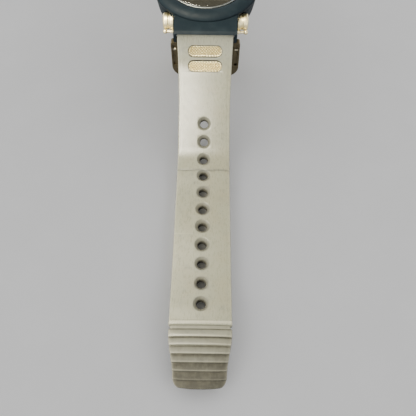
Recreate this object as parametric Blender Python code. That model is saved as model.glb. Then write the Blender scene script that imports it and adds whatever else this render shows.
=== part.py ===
"""Dive computer on a rubber strap, standing on a table with its long strap half stretched out.

The part's frame has +Z up and the 12 o'clock side towards +Y. The case is tilted about X and is
modelled in its own frame: the origin is the centre of the bezel's outer edge, +Y points to
12 o'clock and +Z leaves the display. Each strap half follows a path of arcs in the YZ plane,
which is the run of its outer surface. Lengths are in millimetres and angles in degrees until a
mesh is made.
"""
import bmesh
import bpy
from math import cos, pi, radians, sin, sqrt, tau
from mathutils import Matrix, Vector

MM = 0.001

# The case's place and tilt in the part's frame
CASE_CENTRE_Y = 64.17
CASE_CENTRE_Z = 40.0
CASE_TILT = 10.0

# Case, heights along its own Z
BEZEL_RADIUS = 24.4
BEZEL_INNER_RADIUS = 19.0
BODY_RADIUS = 22.9
BODY_TOP = -2.5
BODY_BOTTOM = -13.6
CAVITY_RADIUS = 18.5
FLANGE_BOTTOM = -4.0
WINDOW_RADIUS = 15.8
BACK_RADIUS = 20.6
BACK_BOTTOM = -14.0
BACK_TOP = -12.9
GAP = 0.3
ROUND_STEPS = 36

# Strap hoods at 6 and 12 o'clock: distances out from the case centre, and heights
HOOD_HALF_WIDTH = 13.3
CHANNEL_HALF_WIDTH = 12.15
HOOD_TOP = -0.5
BAR_OUT = 27.2
BAR_HEIGHT = -5.35
BAR_RADIUS = 0.9
BAR_HALF_LENGTH = 13.0
CHANNEL_RADIUS = 4.1

# Corner pushers, which slide along X
BUTTON_OUT = 18.5
BUTTON_HEIGHT = -7.1
BUTTON_INNER_END = 8.2
CAP_START = 16.1
CAP_END = 18.3
CAP_RADIUS = 3.4
COLLAR_START = 13.7
COLLAR_END = 15.2
COLLAR_RADIUS = 3.6
STEM_RADIUS = 0.9
SPRING_BORE = 2.2
SPRING_RADIUS = 1.6
SPRING_WIRE = 0.22
SPRING_START = 10.8
SPRING_TURNS = 4
STUD_REACH = 4.3
STUD_ANGLE = 198.0

# Fasteners in the case back
SCREW_CIRCLE = 19.8
SCREW_ANGLES = (62.0, 118.0, 242.0, 298.0)

# Where each strap half's top edge starts in the case's frame, and how steeply it leaves
ROOT_OUT = 29.26
ROOT_HEIGHT = -2.07
ROOT_STEEPNESS = 69.5
ROOT_WIDTH = 23.8
STRAP_WIDTH = 22.0
TAPER_LENGTH = 28.0
ROOT_THICKNESS = 4.0
STRAP_THICKNESS = 3.2
THINNING_LENGTH = 20.0
BARREL_RADIUS = 3.0
EDGE_CHAMFER = 0.6

# Long half: pairs of run length and turn, where a positive turn is anticlockwise seen from +X
LONG_RUNS = ((17.5, -53.1), (30.5, 0.0), (6.0, -21.9), (69.4, -11.5), (21.5, 31.3))
HOLE_COUNT = 11
FIRST_HOLE = 38.05
HOLE_PITCH = 7.79
HOLE_RADIUS = 1.75
HOLE_RIM_RADIUS = 2.8
COUNTERSINK_DEPTH = 1.0
SLOT_CENTRES = (7.4, 13.3)
SLOT_LENGTH = 14.6
SLOT_WIDTH = 4.6
SLOT_DEPTH = 1.5
INSERT_HEIGHT = 0.9
LIP_AT = 122.4
LIP_HEIGHT = 0.35
GROOVE_DEPTH = 0.45
RIB_START = 124.9
RIB_COUNT = 7
RIB_PITCH = 2.82
RIB_DEPTH = 0.55
TIP_WIDTH = 18.2
TIP_THICKNESS = 2.7
TIP_ROUNDING = 5.0

# Short half: an arc down to the table, a run along it and an arc up to the buckle
SHORT_FLAT = 7.1
END_RADIUS = 21.5
END_TURN = 83.0
PIN_DEPTH = 2.1
PIN_RADIUS = 0.75
PIN_HALF_LENGTH = 14.9
END_BARREL_RADIUS = 2.3
TONGUE_SLOT = 3.8

# Buckle, heights measured from its pin
FRAME_HALF_WIDTH = 15.3
FRAME_INNER_HALF = 12.3
FRAME_TOP = 4.6
FRAME_BOTTOM = -14.6
FRAME_BAR = 3.0
FRAME_THICKNESS = 2.8
FRAME_CORNER = 5.5
TONGUE_WIDTH = 3.0
TONGUE_RING = 1.9
TONGUE_END = -15.6

# Keepers: loops round the short half
KEEPER_LENGTH = 5.5
KEEPER_WALL = 1.2
KEEPER_PLAY = 0.4
FIXED_KEEPER_ANGLE = 30.0
FREE_KEEPER_ANGLE = 45.0


def clear_scene():
    for item in list(bpy.data.objects):
        bpy.data.objects.remove(item, do_unlink=True)


def make_material(name, colour, roughness, metallic=0.0):
    material = bpy.data.materials.new(name)
    material.use_nodes = True
    shader = material.node_tree.nodes["Principled BSDF"]
    shader.inputs["Base Color"].default_value = (*colour, 1.0)
    shader.inputs["Roughness"].default_value = roughness
    shader.inputs["Metallic"].default_value = metallic
    return material


def make_materials():
    return {
        "navy": make_material("navy_composite", (0.035, 0.05, 0.062), 0.42),
        "pale_rim": make_material("pale_rim", (0.16, 0.18, 0.17), 0.35),
        "crystal": make_material("crystal", (0.045, 0.045, 0.034), 0.08),
        "champagne": make_material("champagne_titanium", (0.72, 0.66, 0.5), 0.3, 1.0),
        "urethane": make_material("grey_urethane", (0.42, 0.43, 0.39), 0.32),
        "bronze": make_material("buckle_titanium", (0.36, 0.31, 0.2), 0.35, 1.0),
        "steel": make_material("steel", (0.55, 0.55, 0.54), 0.3, 1.0),
        "seal": make_material("seal_rubber", (0.02, 0.02, 0.022), 0.7),
        "inner_plastic": make_material("inner_plastic", (0.03, 0.03, 0.03), 0.6),
        "board": make_material("board", (0.02, 0.12, 0.05), 0.5),
        "display": make_material("display", (0.3, 0.32, 0.26), 0.3),
    }


# Shapes: each is a pair of a list of points and a list of faces, in millimetres

def turned(profile, steps=ROUND_STEPS):
    """A profile of (radius, height) points turned about Z: flat ends on the axis, or a closed ring."""
    meets_axis = profile[0][0] == 0
    rings = [point for point in profile if point[0] > 0] if meets_axis else profile
    points = []
    for radius, height in rings:
        angles = [tau * step / steps for step in range(steps)]
        points += [(radius * cos(angle), radius * sin(angle), height) for angle in angles]
    faces = []
    for row in range(len(rings) - 1 if meets_axis else len(rings)):
        first = row * steps
        second = (row + 1) % len(rings) * steps
        for step in range(steps):
            after = (step + 1) % steps
            faces.append((first + step, first + after, second + after, second + step))
    if meets_axis:
        faces += [tuple(range(steps)), tuple(range(len(points) - steps, len(points)))]
    return points, faces


def lofted(sections):
    """Closed outlines with equal numbers of points joined in turn, with flat ends."""
    count = len(sections[0])
    points = [point for section in sections for point in section]
    faces = [tuple(range(count)), tuple(range(len(points) - count, len(points)))]
    for row in range(len(sections) - 1):
        for index in range(count):
            after = (index + 1) % count
            low = row * count
            high = low + count
            faces.append((low + index, low + after, high + after, high + index))
    return points, faces


def prism(outline, low, high):
    """An outline in X and Y between two heights."""
    return lofted([[(x, y, height) for x, y in outline] for height in (low, high)])


def window_prism(outer, inner, low, high):
    """An outline with a hole of as many points, between two heights."""
    count = len(outer)
    rings = ((outer, low), (outer, high), (inner, high), (inner, low))
    points = [(x, y, height) for ring, height in rings for x, y in ring]
    faces = []
    for row in range(4):
        for index in range(count):
            after = (index + 1) % count
            first = row * count
            second = (row + 1) % 4 * count
            faces.append((first + index, first + after, second + after, second + index))
    return points, faces


def rectangle(width, height, corner, steps=4):
    """A rectangle with round corners, centred on the origin."""
    outline = []
    for quarter in range(4):
        x = (width / 2 - corner) * (1 if quarter in (0, 3) else -1)
        y = (height / 2 - corner) * (1 if quarter in (0, 1) else -1)
        outline += arc((x, y), corner, quarter * 90, quarter * 90 + 90, steps)
    return outline


def arc(centre, radius, start, end, steps):
    """Points on a circle from one angle to another."""
    angles = [radians(start + (end - start) * step / steps) for step in range(steps + 1)]
    return [(centre[0] + radius * cos(a), centre[1] + radius * sin(a)) for a in angles]


def box(width, depth, height, centre):
    half = width / 2
    outline = [(-half, -depth / 2), (half, -depth / 2), (half, depth / 2), (-half, depth / 2)]
    return moved(prism(outline, -height / 2, height / 2), Matrix.Translation(centre))


def moved(shape, matrix):
    points, faces = shape
    return [tuple(matrix @ Vector(point)) for point in points], faces


def joined(*shapes):
    """Shapes kept as separate bodies of one mesh, for a cutter that cuts in several places."""
    points = []
    faces = []
    for shape_points, shape_faces in shapes:
        offset = len(points)
        points += shape_points
        faces += [tuple(offset + corner for corner in face) for face in shape_faces]
    return points, faces


def side_plane(side=1):
    """Turns an outline drawn in X and Y into (out, height) on one side of the case, extruded along X."""
    return Matrix(((0, 0, 1, 0), (side, 0, 0, 0), (0, 1, 0, 0), (0, 0, 0, 1)))


def along_x(direction):
    """Turns a shape made about Z so that its +Z points along +X or -X."""
    return Matrix.Rotation(direction * pi / 2, 4, "Y")


# Objects

def make_object(name, shape, material, parent=None):
    points, faces = shape
    mesh = bpy.data.meshes.new(name)
    mesh.from_pydata([Vector(point) * MM for point in points], [], faces)
    edit = bmesh.new()
    edit.from_mesh(mesh)
    bmesh.ops.recalc_face_normals(edit, faces=edit.faces)
    edit.to_mesh(mesh)
    edit.free()
    mesh.shade_smooth()
    mesh.set_sharp_from_angle(angle=radians(30))
    item = bpy.data.objects.new(name, mesh)
    bpy.context.scene.collection.objects.link(item)
    item.parent = parent
    if material:
        mesh.materials.append(material)
    return item


def reshape(item, label, shape, operation="DIFFERENCE"):
    """Cuts a shape out of an object, or adds it, by a Boolean with a hidden guide object."""
    guide = make_object(f"{item.name}_{label}", shape, None, item.parent)
    guide.hide_render = True
    guide.display_type = "WIRE"
    boolean = item.modifiers.new(label, "BOOLEAN")
    boolean.operation = operation
    boolean.solver = "EXACT"
    boolean.object = guide


def make_case_frame():
    frame = bpy.data.objects.new("case_frame", None)
    frame.location = (0.0, CASE_CENTRE_Y * MM, CASE_CENTRE_Z * MM)
    frame.rotation_euler = (radians(CASE_TILT), 0.0, 0.0)
    bpy.context.scene.collection.objects.link(frame)
    return frame


def cylinder(radius, low, high, steps=ROUND_STEPS, at=(0.0, 0.0)):
    shape = turned([(0, low), (radius, low), (radius, high), (0, high)], steps)
    return moved(shape, Matrix.Translation((at[0], at[1], 0.0)))


def on_circle(radius, angle):
    return (radius * cos(radians(angle)), radius * sin(radians(angle)))


def ring(inner, outer, low, high, steps=ROUND_STEPS):
    return turned([(inner, low), (outer, low), (outer, high), (inner, high)], steps)


# Case

def hood_outline():
    """Side view of a strap hood: distance out from the case centre, and height."""
    return [
        (14.0, HOOD_TOP), (26.3, HOOD_TOP), (28.0, -0.75), (29.2, -1.2), (29.85, -1.8), (29.9, -2.6),
        (29.7, -6.8), (28.4, -8.8), (25.0, -9.6), (22.0, -12.4), (14.0, -12.4),
    ]


def channel_outline():
    """The room under a hood that the strap's root turns in, open outwards and downwards."""
    roof = arc((BAR_OUT, BAR_HEIGHT), CHANNEL_RADIUS, 52, 220, 14)
    return roof + [(24.6, -15.0), (31.0, -15.0), (31.0, roof[0][1])]


def button_place(across, along):
    """The point on a pusher's axis where it crosses the case's YZ plane, with its direction."""
    place = Matrix.Translation((0.0, along * BUTTON_OUT, BUTTON_HEIGHT))
    return place @ along_x(across)


def button_cuts(across, along):
    place = button_place(across, along)
    return [
        moved(cylinder(4.0, HOOD_HALF_WIDTH + 0.1, 21.0, 20), place),
        moved(cylinder(SPRING_BORE, 10.5, HOOD_HALF_WIDTH + 1.0, 16), place),
        moved(cylinder(STEM_RADIUS + GAP, 8.0, 11.0, 12), place),
    ]


def make_case_body(materials, frame):
    side = [(0, BODY_BOTTOM), (21.2, BODY_BOTTOM), (22.0, -12.8), (BODY_RADIUS, -6.0), (BODY_RADIUS, -1.0)]
    body = make_object("case_body", turned(side + [(0, -1.0)]), materials["navy"], frame)
    for side, name in ((-1, "lower"), (1, "upper")):
        hood = prism(hood_outline(), -HOOD_HALF_WIDTH, HOOD_HALF_WIDTH)
        channel = prism(channel_outline(), -CHANNEL_HALF_WIDTH, CHANNEL_HALF_WIDTH)
        bar_place = Matrix.Translation((0, side * BAR_OUT, BAR_HEIGHT)) @ along_x(1)
        bar_hole = moved(cylinder(BAR_RADIUS + GAP, -15, 15, 16), bar_place)
        reshape(body, f"{name}_hood", moved(hood, side_plane(side)), "UNION")
        reshape(body, f"{name}_channel", moved(channel, side_plane(side)))
        reshape(body, f"{name}_bar_hole", bar_hole)
    reshape(body, "bezel_seat", cylinder(BEZEL_RADIUS + GAP, BODY_TOP, 3.0))
    reshape(body, "window", cylinder(WINDOW_RADIUS, FLANGE_BOTTOM - 1.0, 0.0))
    reshape(body, "cavity", cylinder(CAVITY_RADIUS, BODY_BOTTOM - 1.0, FLANGE_BOTTOM))
    reshape(body, "back_seat", cylinder(BACK_RADIUS + GAP, BODY_BOTTOM - 1.0, BACK_TOP + GAP))
    pockets = [box(5.5, 8.3, 3.5, (x, y, -6.65)) for x in (-6.25, 6.25) for y in (-16.15, 16.15)]
    reshape(body, "switch_pockets", joined(*pockets))
    for across in (-1, 1):
        for along in (-1, 1):
            for index, cut in enumerate(button_cuts(across, along)):
                reshape(body, f"button_{across + 1}{along + 1}{index}", cut)
    holes = [cylinder(0.95, -13.5, -9.2, 10, on_circle(SCREW_CIRCLE, angle)) for angle in SCREW_ANGLES]
    reshape(body, "screw_holes", joined(*holes))


def make_window(materials, frame):
    bezel = [
        (BEZEL_INNER_RADIUS, -2.2), (BEZEL_RADIUS - 0.8, -2.2), (BEZEL_RADIUS, -1.4), (BEZEL_RADIUS, -0.4),
        (23.7, 0.4), (22.4, 1.0), (20.8, 1.25), (BEZEL_INNER_RADIUS + 0.4, 1.1), (BEZEL_INNER_RADIUS, 0.8),
    ]
    make_object("bezel_ring", turned(bezel), materials["navy"], frame)
    make_object("crystal_retainer", ring(18.0, 18.7, -2.2, 0.8), materials["pale_rim"], frame)
    crystal = [(0, -1.4), (17.7, -1.4), (17.7, 0.2), (17.2, 0.5), (0, 0.5)]
    make_object("crystal", turned(crystal), materials["crystal"], frame)
    make_object("crystal_gasket", ring(16.2, 17.6, -2.2, -1.7), materials["seal"], frame)


def make_module(materials, frame):
    mask = window_prism(
        arc((0, 0), 17.8, 0, 350, 35), rectangle(23.0, 19.0, 2.0, 8), -4.7, -4.3)
    make_object("dial_mask", mask, materials["inner_plastic"], frame)
    make_object("lcd_panel", box(25.0, 21.0, 1.5, (0, 0, -5.95)), materials["display"], frame)
    holder = window_prism(arc((0, 0), 17.9, 0, 350, 35), rectangle(25.8, 21.8, 1.0, 8), -8.5, -5.0)
    make_object("module_frame", holder, materials["inner_plastic"], frame)
    for name, y in (("zebra_strip_lower", -9.2), ("zebra_strip_upper", 9.2)):
        make_object(name, box(22.0, 1.4, 1.5, (0, y, -7.75)), materials["seal"], frame)
    make_object("circuit_board", cylinder(17.5, -9.6, -8.8, 36), materials["board"], frame)
    make_object("processor", box(5.0, 5.0, 0.9, (3.5, 0, -8.05)), materials["inner_plastic"], frame)
    can = moved(cylinder(0.8, -2.5, 2.5, 12), Matrix.Translation((-6.0, 3.0, -7.7)) @ along_x(1))
    make_object("quartz_can", can, materials["steel"], frame)
    make_object("pressure_sensor", cylinder(2.6, -12.5, -9.9, 20, (0, 14.2)), materials["steel"], frame)
    make_object("piezo_buzzer", cylinder(2.8, -11.2, -9.9, 20, (-14.0, 0)), materials["steel"], frame)
    make_object("battery_contact", box(9.0, 3.0, 0.2, (0, 0, -10.0)), materials["steel"], frame)
    battery = [(0, -12.8), (8.8, -12.8), (9.6, -12.6), (10.0, -12.2), (10.0, -10.4), (0, -10.4)]
    make_object("battery", turned(battery, 36), materials["steel"], frame)


def make_back(materials, frame):
    plate = ring(11.2, BACK_RADIUS, BACK_BOTTOM, BACK_TOP)
    back = make_object("caseback", plate, materials["champagne"], frame)
    spots = [on_circle(SCREW_CIRCLE, angle) for angle in SCREW_ANGLES]
    sinks = [cylinder(1.5, BACK_BOTTOM - 1, -13.3, 14, spot) for spot in spots]
    reshape(back, "screw_sinks", joined(*sinks))
    reshape(back, "screw_holes", joined(*[cylinder(0.95, -14.5, -12.0, 10, spot) for spot in spots]))
    reshape(back, "filter_seat", cylinder(2.5, BACK_BOTTOM - 1, -13.3, 20, (0, 14.2)))
    reshape(back, "sensor_port", cylinder(1.5, -14.5, -12.0, 16, (0, 14.2)))
    contacts = [cylinder(1.0, -15.0, -12.0, 12, (x, -14.4)) for x in (-4.0, 4.0)]
    reshape(back, "contact_holes", joined(*contacts))
    for index, spot in enumerate(spots, start=1):
        screw = turned([(0, -14.0), (1.2, -14.0), (1.2, -13.5), (0.7, -13.5), (0.7, -9.6), (0, -9.6)], 12)
        screw = moved(screw, Matrix.Translation((spot[0], spot[1], 0)))
        make_object(f"caseback_screw_{index}", screw, materials["steel"], frame)
    make_object("caseback_gasket", ring(17.4, 18.2, -12.6, -11.9), materials["seal"], frame)
    make_object("sensor_filter", cylinder(2.2, -14.1, -13.6, 20, (0, 14.2)), materials["steel"], frame)
    for name, x in (("data_contact_left", -4.0), ("data_contact_right", 4.0)):
        make_object(name, cylinder(0.7, -14.1, -12.0, 12, (x, -14.4)), materials["champagne"], frame)
    make_battery_cover(materials, frame)


def make_battery_cover(materials, frame):
    cover = [(0, -14.3), (10.3, -14.3), (10.9, -13.9), (10.9, -13.2), (0, -13.2)]
    lid = make_object("battery_cover", turned(cover), materials["champagne"], frame)
    reshape(lid, "coin_slot", box(12.0, 1.6, 1.2, (0, 0, -14.3)))
    make_object("battery_cover_gasket", ring(10.4, 11.0, -12.8, -12.3, 36), materials["seal"], frame)


# Pushers

def spring_shape():
    """A coil about Z, with a square-cut end at each side."""
    steps = 10 * SPRING_TURNS
    sections = []
    for step in range(steps + 1):
        angle = tau * step * SPRING_TURNS / steps
        height = SPRING_START + (CAP_START - GAP - SPRING_WIRE - SPRING_START) * step / steps
        outward = Vector((cos(angle), sin(angle), 0))
        centre = outward * SPRING_RADIUS + Vector((0, 0, height + SPRING_WIRE))
        sideways = outward * SPRING_WIRE
        upward = Vector((0, 0, SPRING_WIRE))
        sections.append([centre + sideways, centre + upward, centre - sideways, centre - upward])
    return lofted(sections)


def collar_shape():
    profile = [
        (SPRING_BORE, COLLAR_START), (COLLAR_RADIUS, COLLAR_START), (COLLAR_RADIUS, COLLAR_END - 0.4),
        (COLLAR_RADIUS - 0.4, COLLAR_END), (SPRING_BORE, COLLAR_END),
    ]
    return turned(profile, 24)


def stud_shape(across, along):
    """The small domed guard on the edge of a collar, on the side away from the case centre."""
    dome = [
        (0, COLLAR_START), (1.1, COLLAR_START), (1.1, 14.9),
        (0.85, 15.0), (0.85, 15.8), (0.6, 16.3), (0, 16.5),
    ]
    y, z = on_circle(STUD_REACH, STUD_ANGLE)
    place = Matrix.Translation((0, along * (BUTTON_OUT - y), BUTTON_HEIGHT + z)) @ along_x(across)
    return moved(turned(dome, 12), place)


def make_pushers(materials, frame):
    cap = [
        (0, BUTTON_INNER_END), (STEM_RADIUS, BUTTON_INNER_END), (STEM_RADIUS, CAP_START),
        (CAP_RADIUS - 0.2, CAP_START), (CAP_RADIUS, CAP_START + 0.3), (CAP_RADIUS, CAP_END - 0.8),
        (CAP_RADIUS - 0.5, CAP_END - 0.2), (0, CAP_END),
    ]
    for along, height in ((-1, "lower"), (1, "upper")):
        for across, side in ((-1, "left"), (1, "right")):
            place = button_place(across, along)
            label = f"{height}_{side}"
            metal = materials["champagne"]
            make_object(f"button_{label}", moved(turned(cap, 24), place), metal, frame)
            collar = make_object(f"collar_{label}", moved(collar_shape(), place), metal, frame)
            reshape(collar, "stud", stud_shape(across, along), "UNION")
            spring = moved(spring_shape(), place)
            make_object(f"button_spring_{label}", spring, materials["steel"], frame)
            switch = box(2.2, 2.4, 2.4, (across * 6.3, along * BUTTON_OUT, -6.8))
            make_object(f"switch_{label}", switch, materials["inner_plastic"], frame)


def make_strap_bars(materials, frame):
    for name, side in (("strap_bar_lower", -1), ("strap_bar_upper", 1)):
        bar = cylinder(BAR_RADIUS, -BAR_HALF_LENGTH, BAR_HALF_LENGTH, 16)
        place = Matrix.Translation((0, side * BAR_OUT, BAR_HEIGHT)) @ along_x(1)
        make_object(name, moved(bar, place), materials["steel"], frame)


# Straps

def case_point(out, height, side):
    """A point of the case's side view in the part's frame, as (y, z)."""
    tilt = radians(CASE_TILT)
    y = side * out * cos(tilt) - height * sin(tilt)
    z = side * out * sin(tilt) + height * cos(tilt)
    return CASE_CENTRE_Y + y, CASE_CENTRE_Z + z


def long_start():
    return case_point(ROOT_OUT, ROOT_HEIGHT, -1), 180 + ROOT_STEEPNESS + CASE_TILT


def short_start():
    return case_point(ROOT_OUT, ROOT_HEIGHT, 1), CASE_TILT - ROOT_STEEPNESS


def short_runs():
    """The first arc's radius brings the strap down to the table just as it turns level."""
    (_, height), heading = short_start()
    radius = height / (1 + cos(radians(heading)))
    first = 180 + heading
    return (radius * radians(first), -first), (SHORT_FLAT, 0.0), (END_RADIUS * radians(END_TURN), -END_TURN)


def path_at(start, runs, length):
    """Where a path of arcs is after a length, and which way it heads there."""
    (y, z), heading = start
    left = length
    for index, (run, turn) in enumerate(runs):
        part = left if index == len(runs) - 1 else min(left, run)
        angle = radians(turn) * part / run
        chord = part if not angle else 2 * run / radians(turn) * sin(angle / 2)
        y += chord * cos(radians(heading) + angle / 2)
        z += chord * sin(radians(heading) + angle / 2)
        heading += angle / pi * 180
        left -= part
        if left <= 0:
            break
    return y, z, heading


def strap_place(start, runs, length, inward):
    """A frame on the strap's outer surface: X across, Y along it and Z out of it."""
    y, z, heading = path_at(start, runs, length)
    along = Vector((0, cos(radians(heading)), sin(radians(heading))))
    out = Vector((0, sin(radians(heading)), -cos(radians(heading)))) * inward
    across = along.cross(out)
    place = Matrix((across, along, out)).transposed().to_4x4()
    place.translation = (0, y, z)
    return place


def strap_section(place, width, thickness, drop=0.0, chamfer=EDGE_CHAMFER):
    """A chamfered rectangle across the strap, its outer side lowered by drop."""
    half = width / 2
    edge = min(chamfer, (thickness - drop) / 3)
    corners = [
        (-half + edge, -drop), (half - edge, -drop), (half, -drop - edge), (half, -thickness + edge),
        (half - edge, -thickness), (-half + edge, -thickness),
        (-half, -thickness + edge), (-half, -drop - edge),
    ]
    return [place @ Vector((x, 0, z)) for x, z in corners]


def ease(length, start, span):
    """0 before a stretch, 1 after it, and straight between."""
    return min(max((length - start) / span, 0.0), 1.0)


def root_thickness(length):
    return ROOT_THICKNESS - (ROOT_THICKNESS - STRAP_THICKNESS) * ease(length, 5.0, THINNING_LENGTH)


def root_width(length):
    return ROOT_WIDTH - (ROOT_WIDTH - STRAP_WIDTH) * ease(length, 0.0, TAPER_LENGTH)


def long_length():
    return sum(run for run, _ in LONG_RUNS)


def long_width(length):
    """The width narrows over the ribs and rounds off at the end."""
    total = long_length()
    narrowing = ease(length, RIB_START, total - RIB_START - TIP_ROUNDING)
    width = root_width(length) - (STRAP_WIDTH - TIP_WIDTH) * narrowing
    past = length - (total - TIP_ROUNDING)
    if past > 0:
        width -= 2 * (TIP_ROUNDING - sqrt(max(TIP_ROUNDING ** 2 - past ** 2, 0.0)))
    return width


def long_thickness(length):
    return root_thickness(length) - (STRAP_THICKNESS - TIP_THICKNESS) * ease(length, RIB_START, 18.0)


def long_stations():
    """Pairs of a length along the strap and how far the outer side is lowered there."""
    total = long_length()
    plain = [2.9 * step for step in range(7)] + [20.5 + 5.0 * step for step in range(6)]
    plain += [48.0 + 2.0 * step for step in range(4)] + [60.0 + 8.0 * step for step in range(8)]
    stations = [(length, 0.0) for length in plain]
    stations += [(LIP_AT - 0.8, 0.0), (LIP_AT, -LIP_HEIGHT), (LIP_AT + 1.0, -LIP_HEIGHT)]
    stations += [(LIP_AT + 1.4, GROOVE_DEPTH), (RIB_START - 0.3, GROOVE_DEPTH)]
    for rib in range(RIB_COUNT):
        begin = RIB_START + rib * RIB_PITCH
        stations += [(begin, RIB_DEPTH), (begin + RIB_PITCH - 0.15, 0.05)]
    return stations + [(total - 0.3, RIB_DEPTH)]


def make_strap_long(materials):
    start = long_start()
    sections = []
    for length, drop in long_stations():
        place = strap_place(start, LONG_RUNS, length, 1)
        sections.append(strap_section(place, long_width(length), long_thickness(length), drop))
    strap = make_object("strap_long", lofted(sections), materials["urethane"])
    add_root_barrel(strap, -1)
    profile = [(0, 1.0), (HOLE_RIM_RADIUS + 0.9, 1.0), (HOLE_RADIUS, -COUNTERSINK_DEPTH)]
    cut = turned(profile + [(HOLE_RADIUS, -6.0), (0, -6.0)], 10)
    holes = []
    for index in range(HOLE_COUNT):
        place = strap_place(start, LONG_RUNS, FIRST_HOLE + index * HOLE_PITCH, 1)
        holes.append(moved(cut, place))
    reshape(strap, "holes", joined(*holes))
    add_inserts("long", strap, start, LONG_RUNS, 1, materials)


def add_root_barrel(strap, side):
    """The strap's root thickens round its bar and has a bore for it."""
    width = ROOT_WIDTH / 2 - 0.1
    centre = Matrix.Translation((0, *case_point(BAR_OUT, BAR_HEIGHT, side))) @ along_x(1)
    reshape(strap, "barrel", moved(cylinder(BARREL_RADIUS, -width, width, 24), centre), "UNION")
    reshape(strap, "bore", moved(cylinder(BAR_RADIUS + 0.35, -15, 15, 16), centre))


def add_inserts(label, strap, start, runs, inward, materials):
    """Two straight slots across the strap, each with a knurled plate in it."""
    slot = rectangle(SLOT_LENGTH, SLOT_WIDTH, SLOT_WIDTH / 2 - 0.01, 5)
    plate = rectangle(SLOT_LENGTH - 2 * GAP, SLOT_WIDTH - 2 * GAP, SLOT_WIDTH / 2 - GAP - 0.01, 5)
    cuts = []
    for index, centre in enumerate(SLOT_CENTRES, start=1):
        place = strap_place(start, runs, centre, inward)
        cuts.append(moved(prism(slot, -SLOT_DEPTH, 1.0), place))
        low = -SLOT_DEPTH + GAP
        insert = moved(prism(plate, low, low + INSERT_HEIGHT), place)
        make_object(f"insert_{label}_{index}", insert, materials["champagne"])
    reshape(strap, "slots", joined(*cuts))


def short_pin_place():
    runs = short_runs()
    total = sum(run for run, _ in runs)
    return strap_place(short_start(), runs, total, -1) @ Matrix.Translation((0, 0, -PIN_DEPTH))


def make_strap_short(materials):
    start = short_start()
    runs = short_runs()
    total = sum(run for run, _ in runs)
    flat = runs[0][0]
    lengths = [2.9 * step for step in range(7)] + [20.5 + (flat - 20.5) * step / 8 for step in range(9)]
    lengths += [flat + SHORT_FLAT + (total - flat - SHORT_FLAT) * step / 7 for step in range(8)]
    sections = []
    for length in lengths:
        place = strap_place(start, runs, length, -1)
        sections.append(strap_section(place, root_width(length), root_thickness(length)))
    strap = make_object("strap_short", lofted(sections), materials["urethane"])
    add_root_barrel(strap, 1)
    pin = short_pin_place() @ along_x(1)
    end = cylinder(END_BARREL_RADIUS, -STRAP_WIDTH / 2 + 0.1, STRAP_WIDTH / 2 - 0.1, 20)
    reshape(strap, "end_barrel", moved(end, pin), "UNION")
    reshape(strap, "pin_bore", moved(cylinder(PIN_RADIUS + GAP, -15, 15, 14), pin))
    _, y, z = short_pin_place().translation
    reshape(strap, "tongue_slot", box(TONGUE_SLOT, 9.0, 10.5, (0, y, z - 0.9)))
    add_inserts("short", strap, start, runs, -1, materials)


def keeper_shape(thickness):
    """A loop round the strap, its length along Y and its middle at the strap's middle."""
    width = STRAP_WIDTH + 2 * KEEPER_PLAY
    height = thickness + 2 * KEEPER_PLAY
    outer = rectangle(width + 2 * KEEPER_WALL, height + 2 * KEEPER_WALL, 1.2, 3)
    inner = rectangle(width, height, 0.3, 3)
    shape = window_prism(outer, inner, -KEEPER_LENGTH / 2, KEEPER_LENGTH / 2)
    upright = Matrix(((1, 0, 0, 0), (0, 0, 1, 0), (0, 1, 0, -thickness / 2), (0, 0, 0, 1)))
    return moved(shape, upright)


def make_keepers(materials):
    start = short_start()
    runs = short_runs()
    down = runs[0][0]
    radius = down / radians(-runs[0][1])
    spots = {
        "keeper_fixed": down + SHORT_FLAT + END_RADIUS * radians(FIXED_KEEPER_ANGLE),
        "keeper_free": down - radius * radians(FREE_KEEPER_ANGLE),
    }
    for name, length in spots.items():
        place = strap_place(start, runs, length, -1)
        make_object(name, moved(keeper_shape(STRAP_THICKNESS), place), materials["urethane"])


# Buckle

def buckle_outline():
    """The frame seen from the front: two sides with ears above the pin, joined by a bar below."""
    inside = FRAME_BOTTOM + FRAME_BAR
    low = FRAME_BOTTOM + FRAME_CORNER
    corner = FRAME_HALF_WIDTH - FRAME_CORNER
    outline = [(-FRAME_HALF_WIDTH, FRAME_TOP - 1.0)]
    outline += arc((-corner, low), FRAME_CORNER, 180, 270, 6)
    outline += arc((corner, low), FRAME_CORNER, 270, 360, 6)
    outline += [(FRAME_HALF_WIDTH, FRAME_TOP - 1.0), (FRAME_HALF_WIDTH - 1.0, FRAME_TOP)]
    outline += [(FRAME_INNER_HALF, FRAME_TOP), (FRAME_INNER_HALF, inside + 2.0)]
    outline += [(FRAME_INNER_HALF - 2.0, inside), (-FRAME_INNER_HALF + 2.0, inside)]
    outline += [(-FRAME_INNER_HALF, inside + 2.0), (-FRAME_INNER_HALF, FRAME_TOP)]
    return outline + [(-FRAME_HALF_WIDTH + 1.0, FRAME_TOP)]


def tongue_outline():
    """The tongue seen from the side, as (out, height) from the pin; out is towards -Y."""
    shank = FRAME_THICKNESS / 2 + GAP
    tip = [(shank + 0.8, TONGUE_END), (shank + 0.2, TONGUE_END + 0.2)]
    tip += [(shank, TONGUE_END + 0.8), (shank, -3.0)]
    ring_side = arc((0, 0), TONGUE_RING, 240, -10, 10)
    return ring_side + [(shank + 1.1, -2.6), (shank + 1.1, TONGUE_END + 0.6)] + tip


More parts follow.
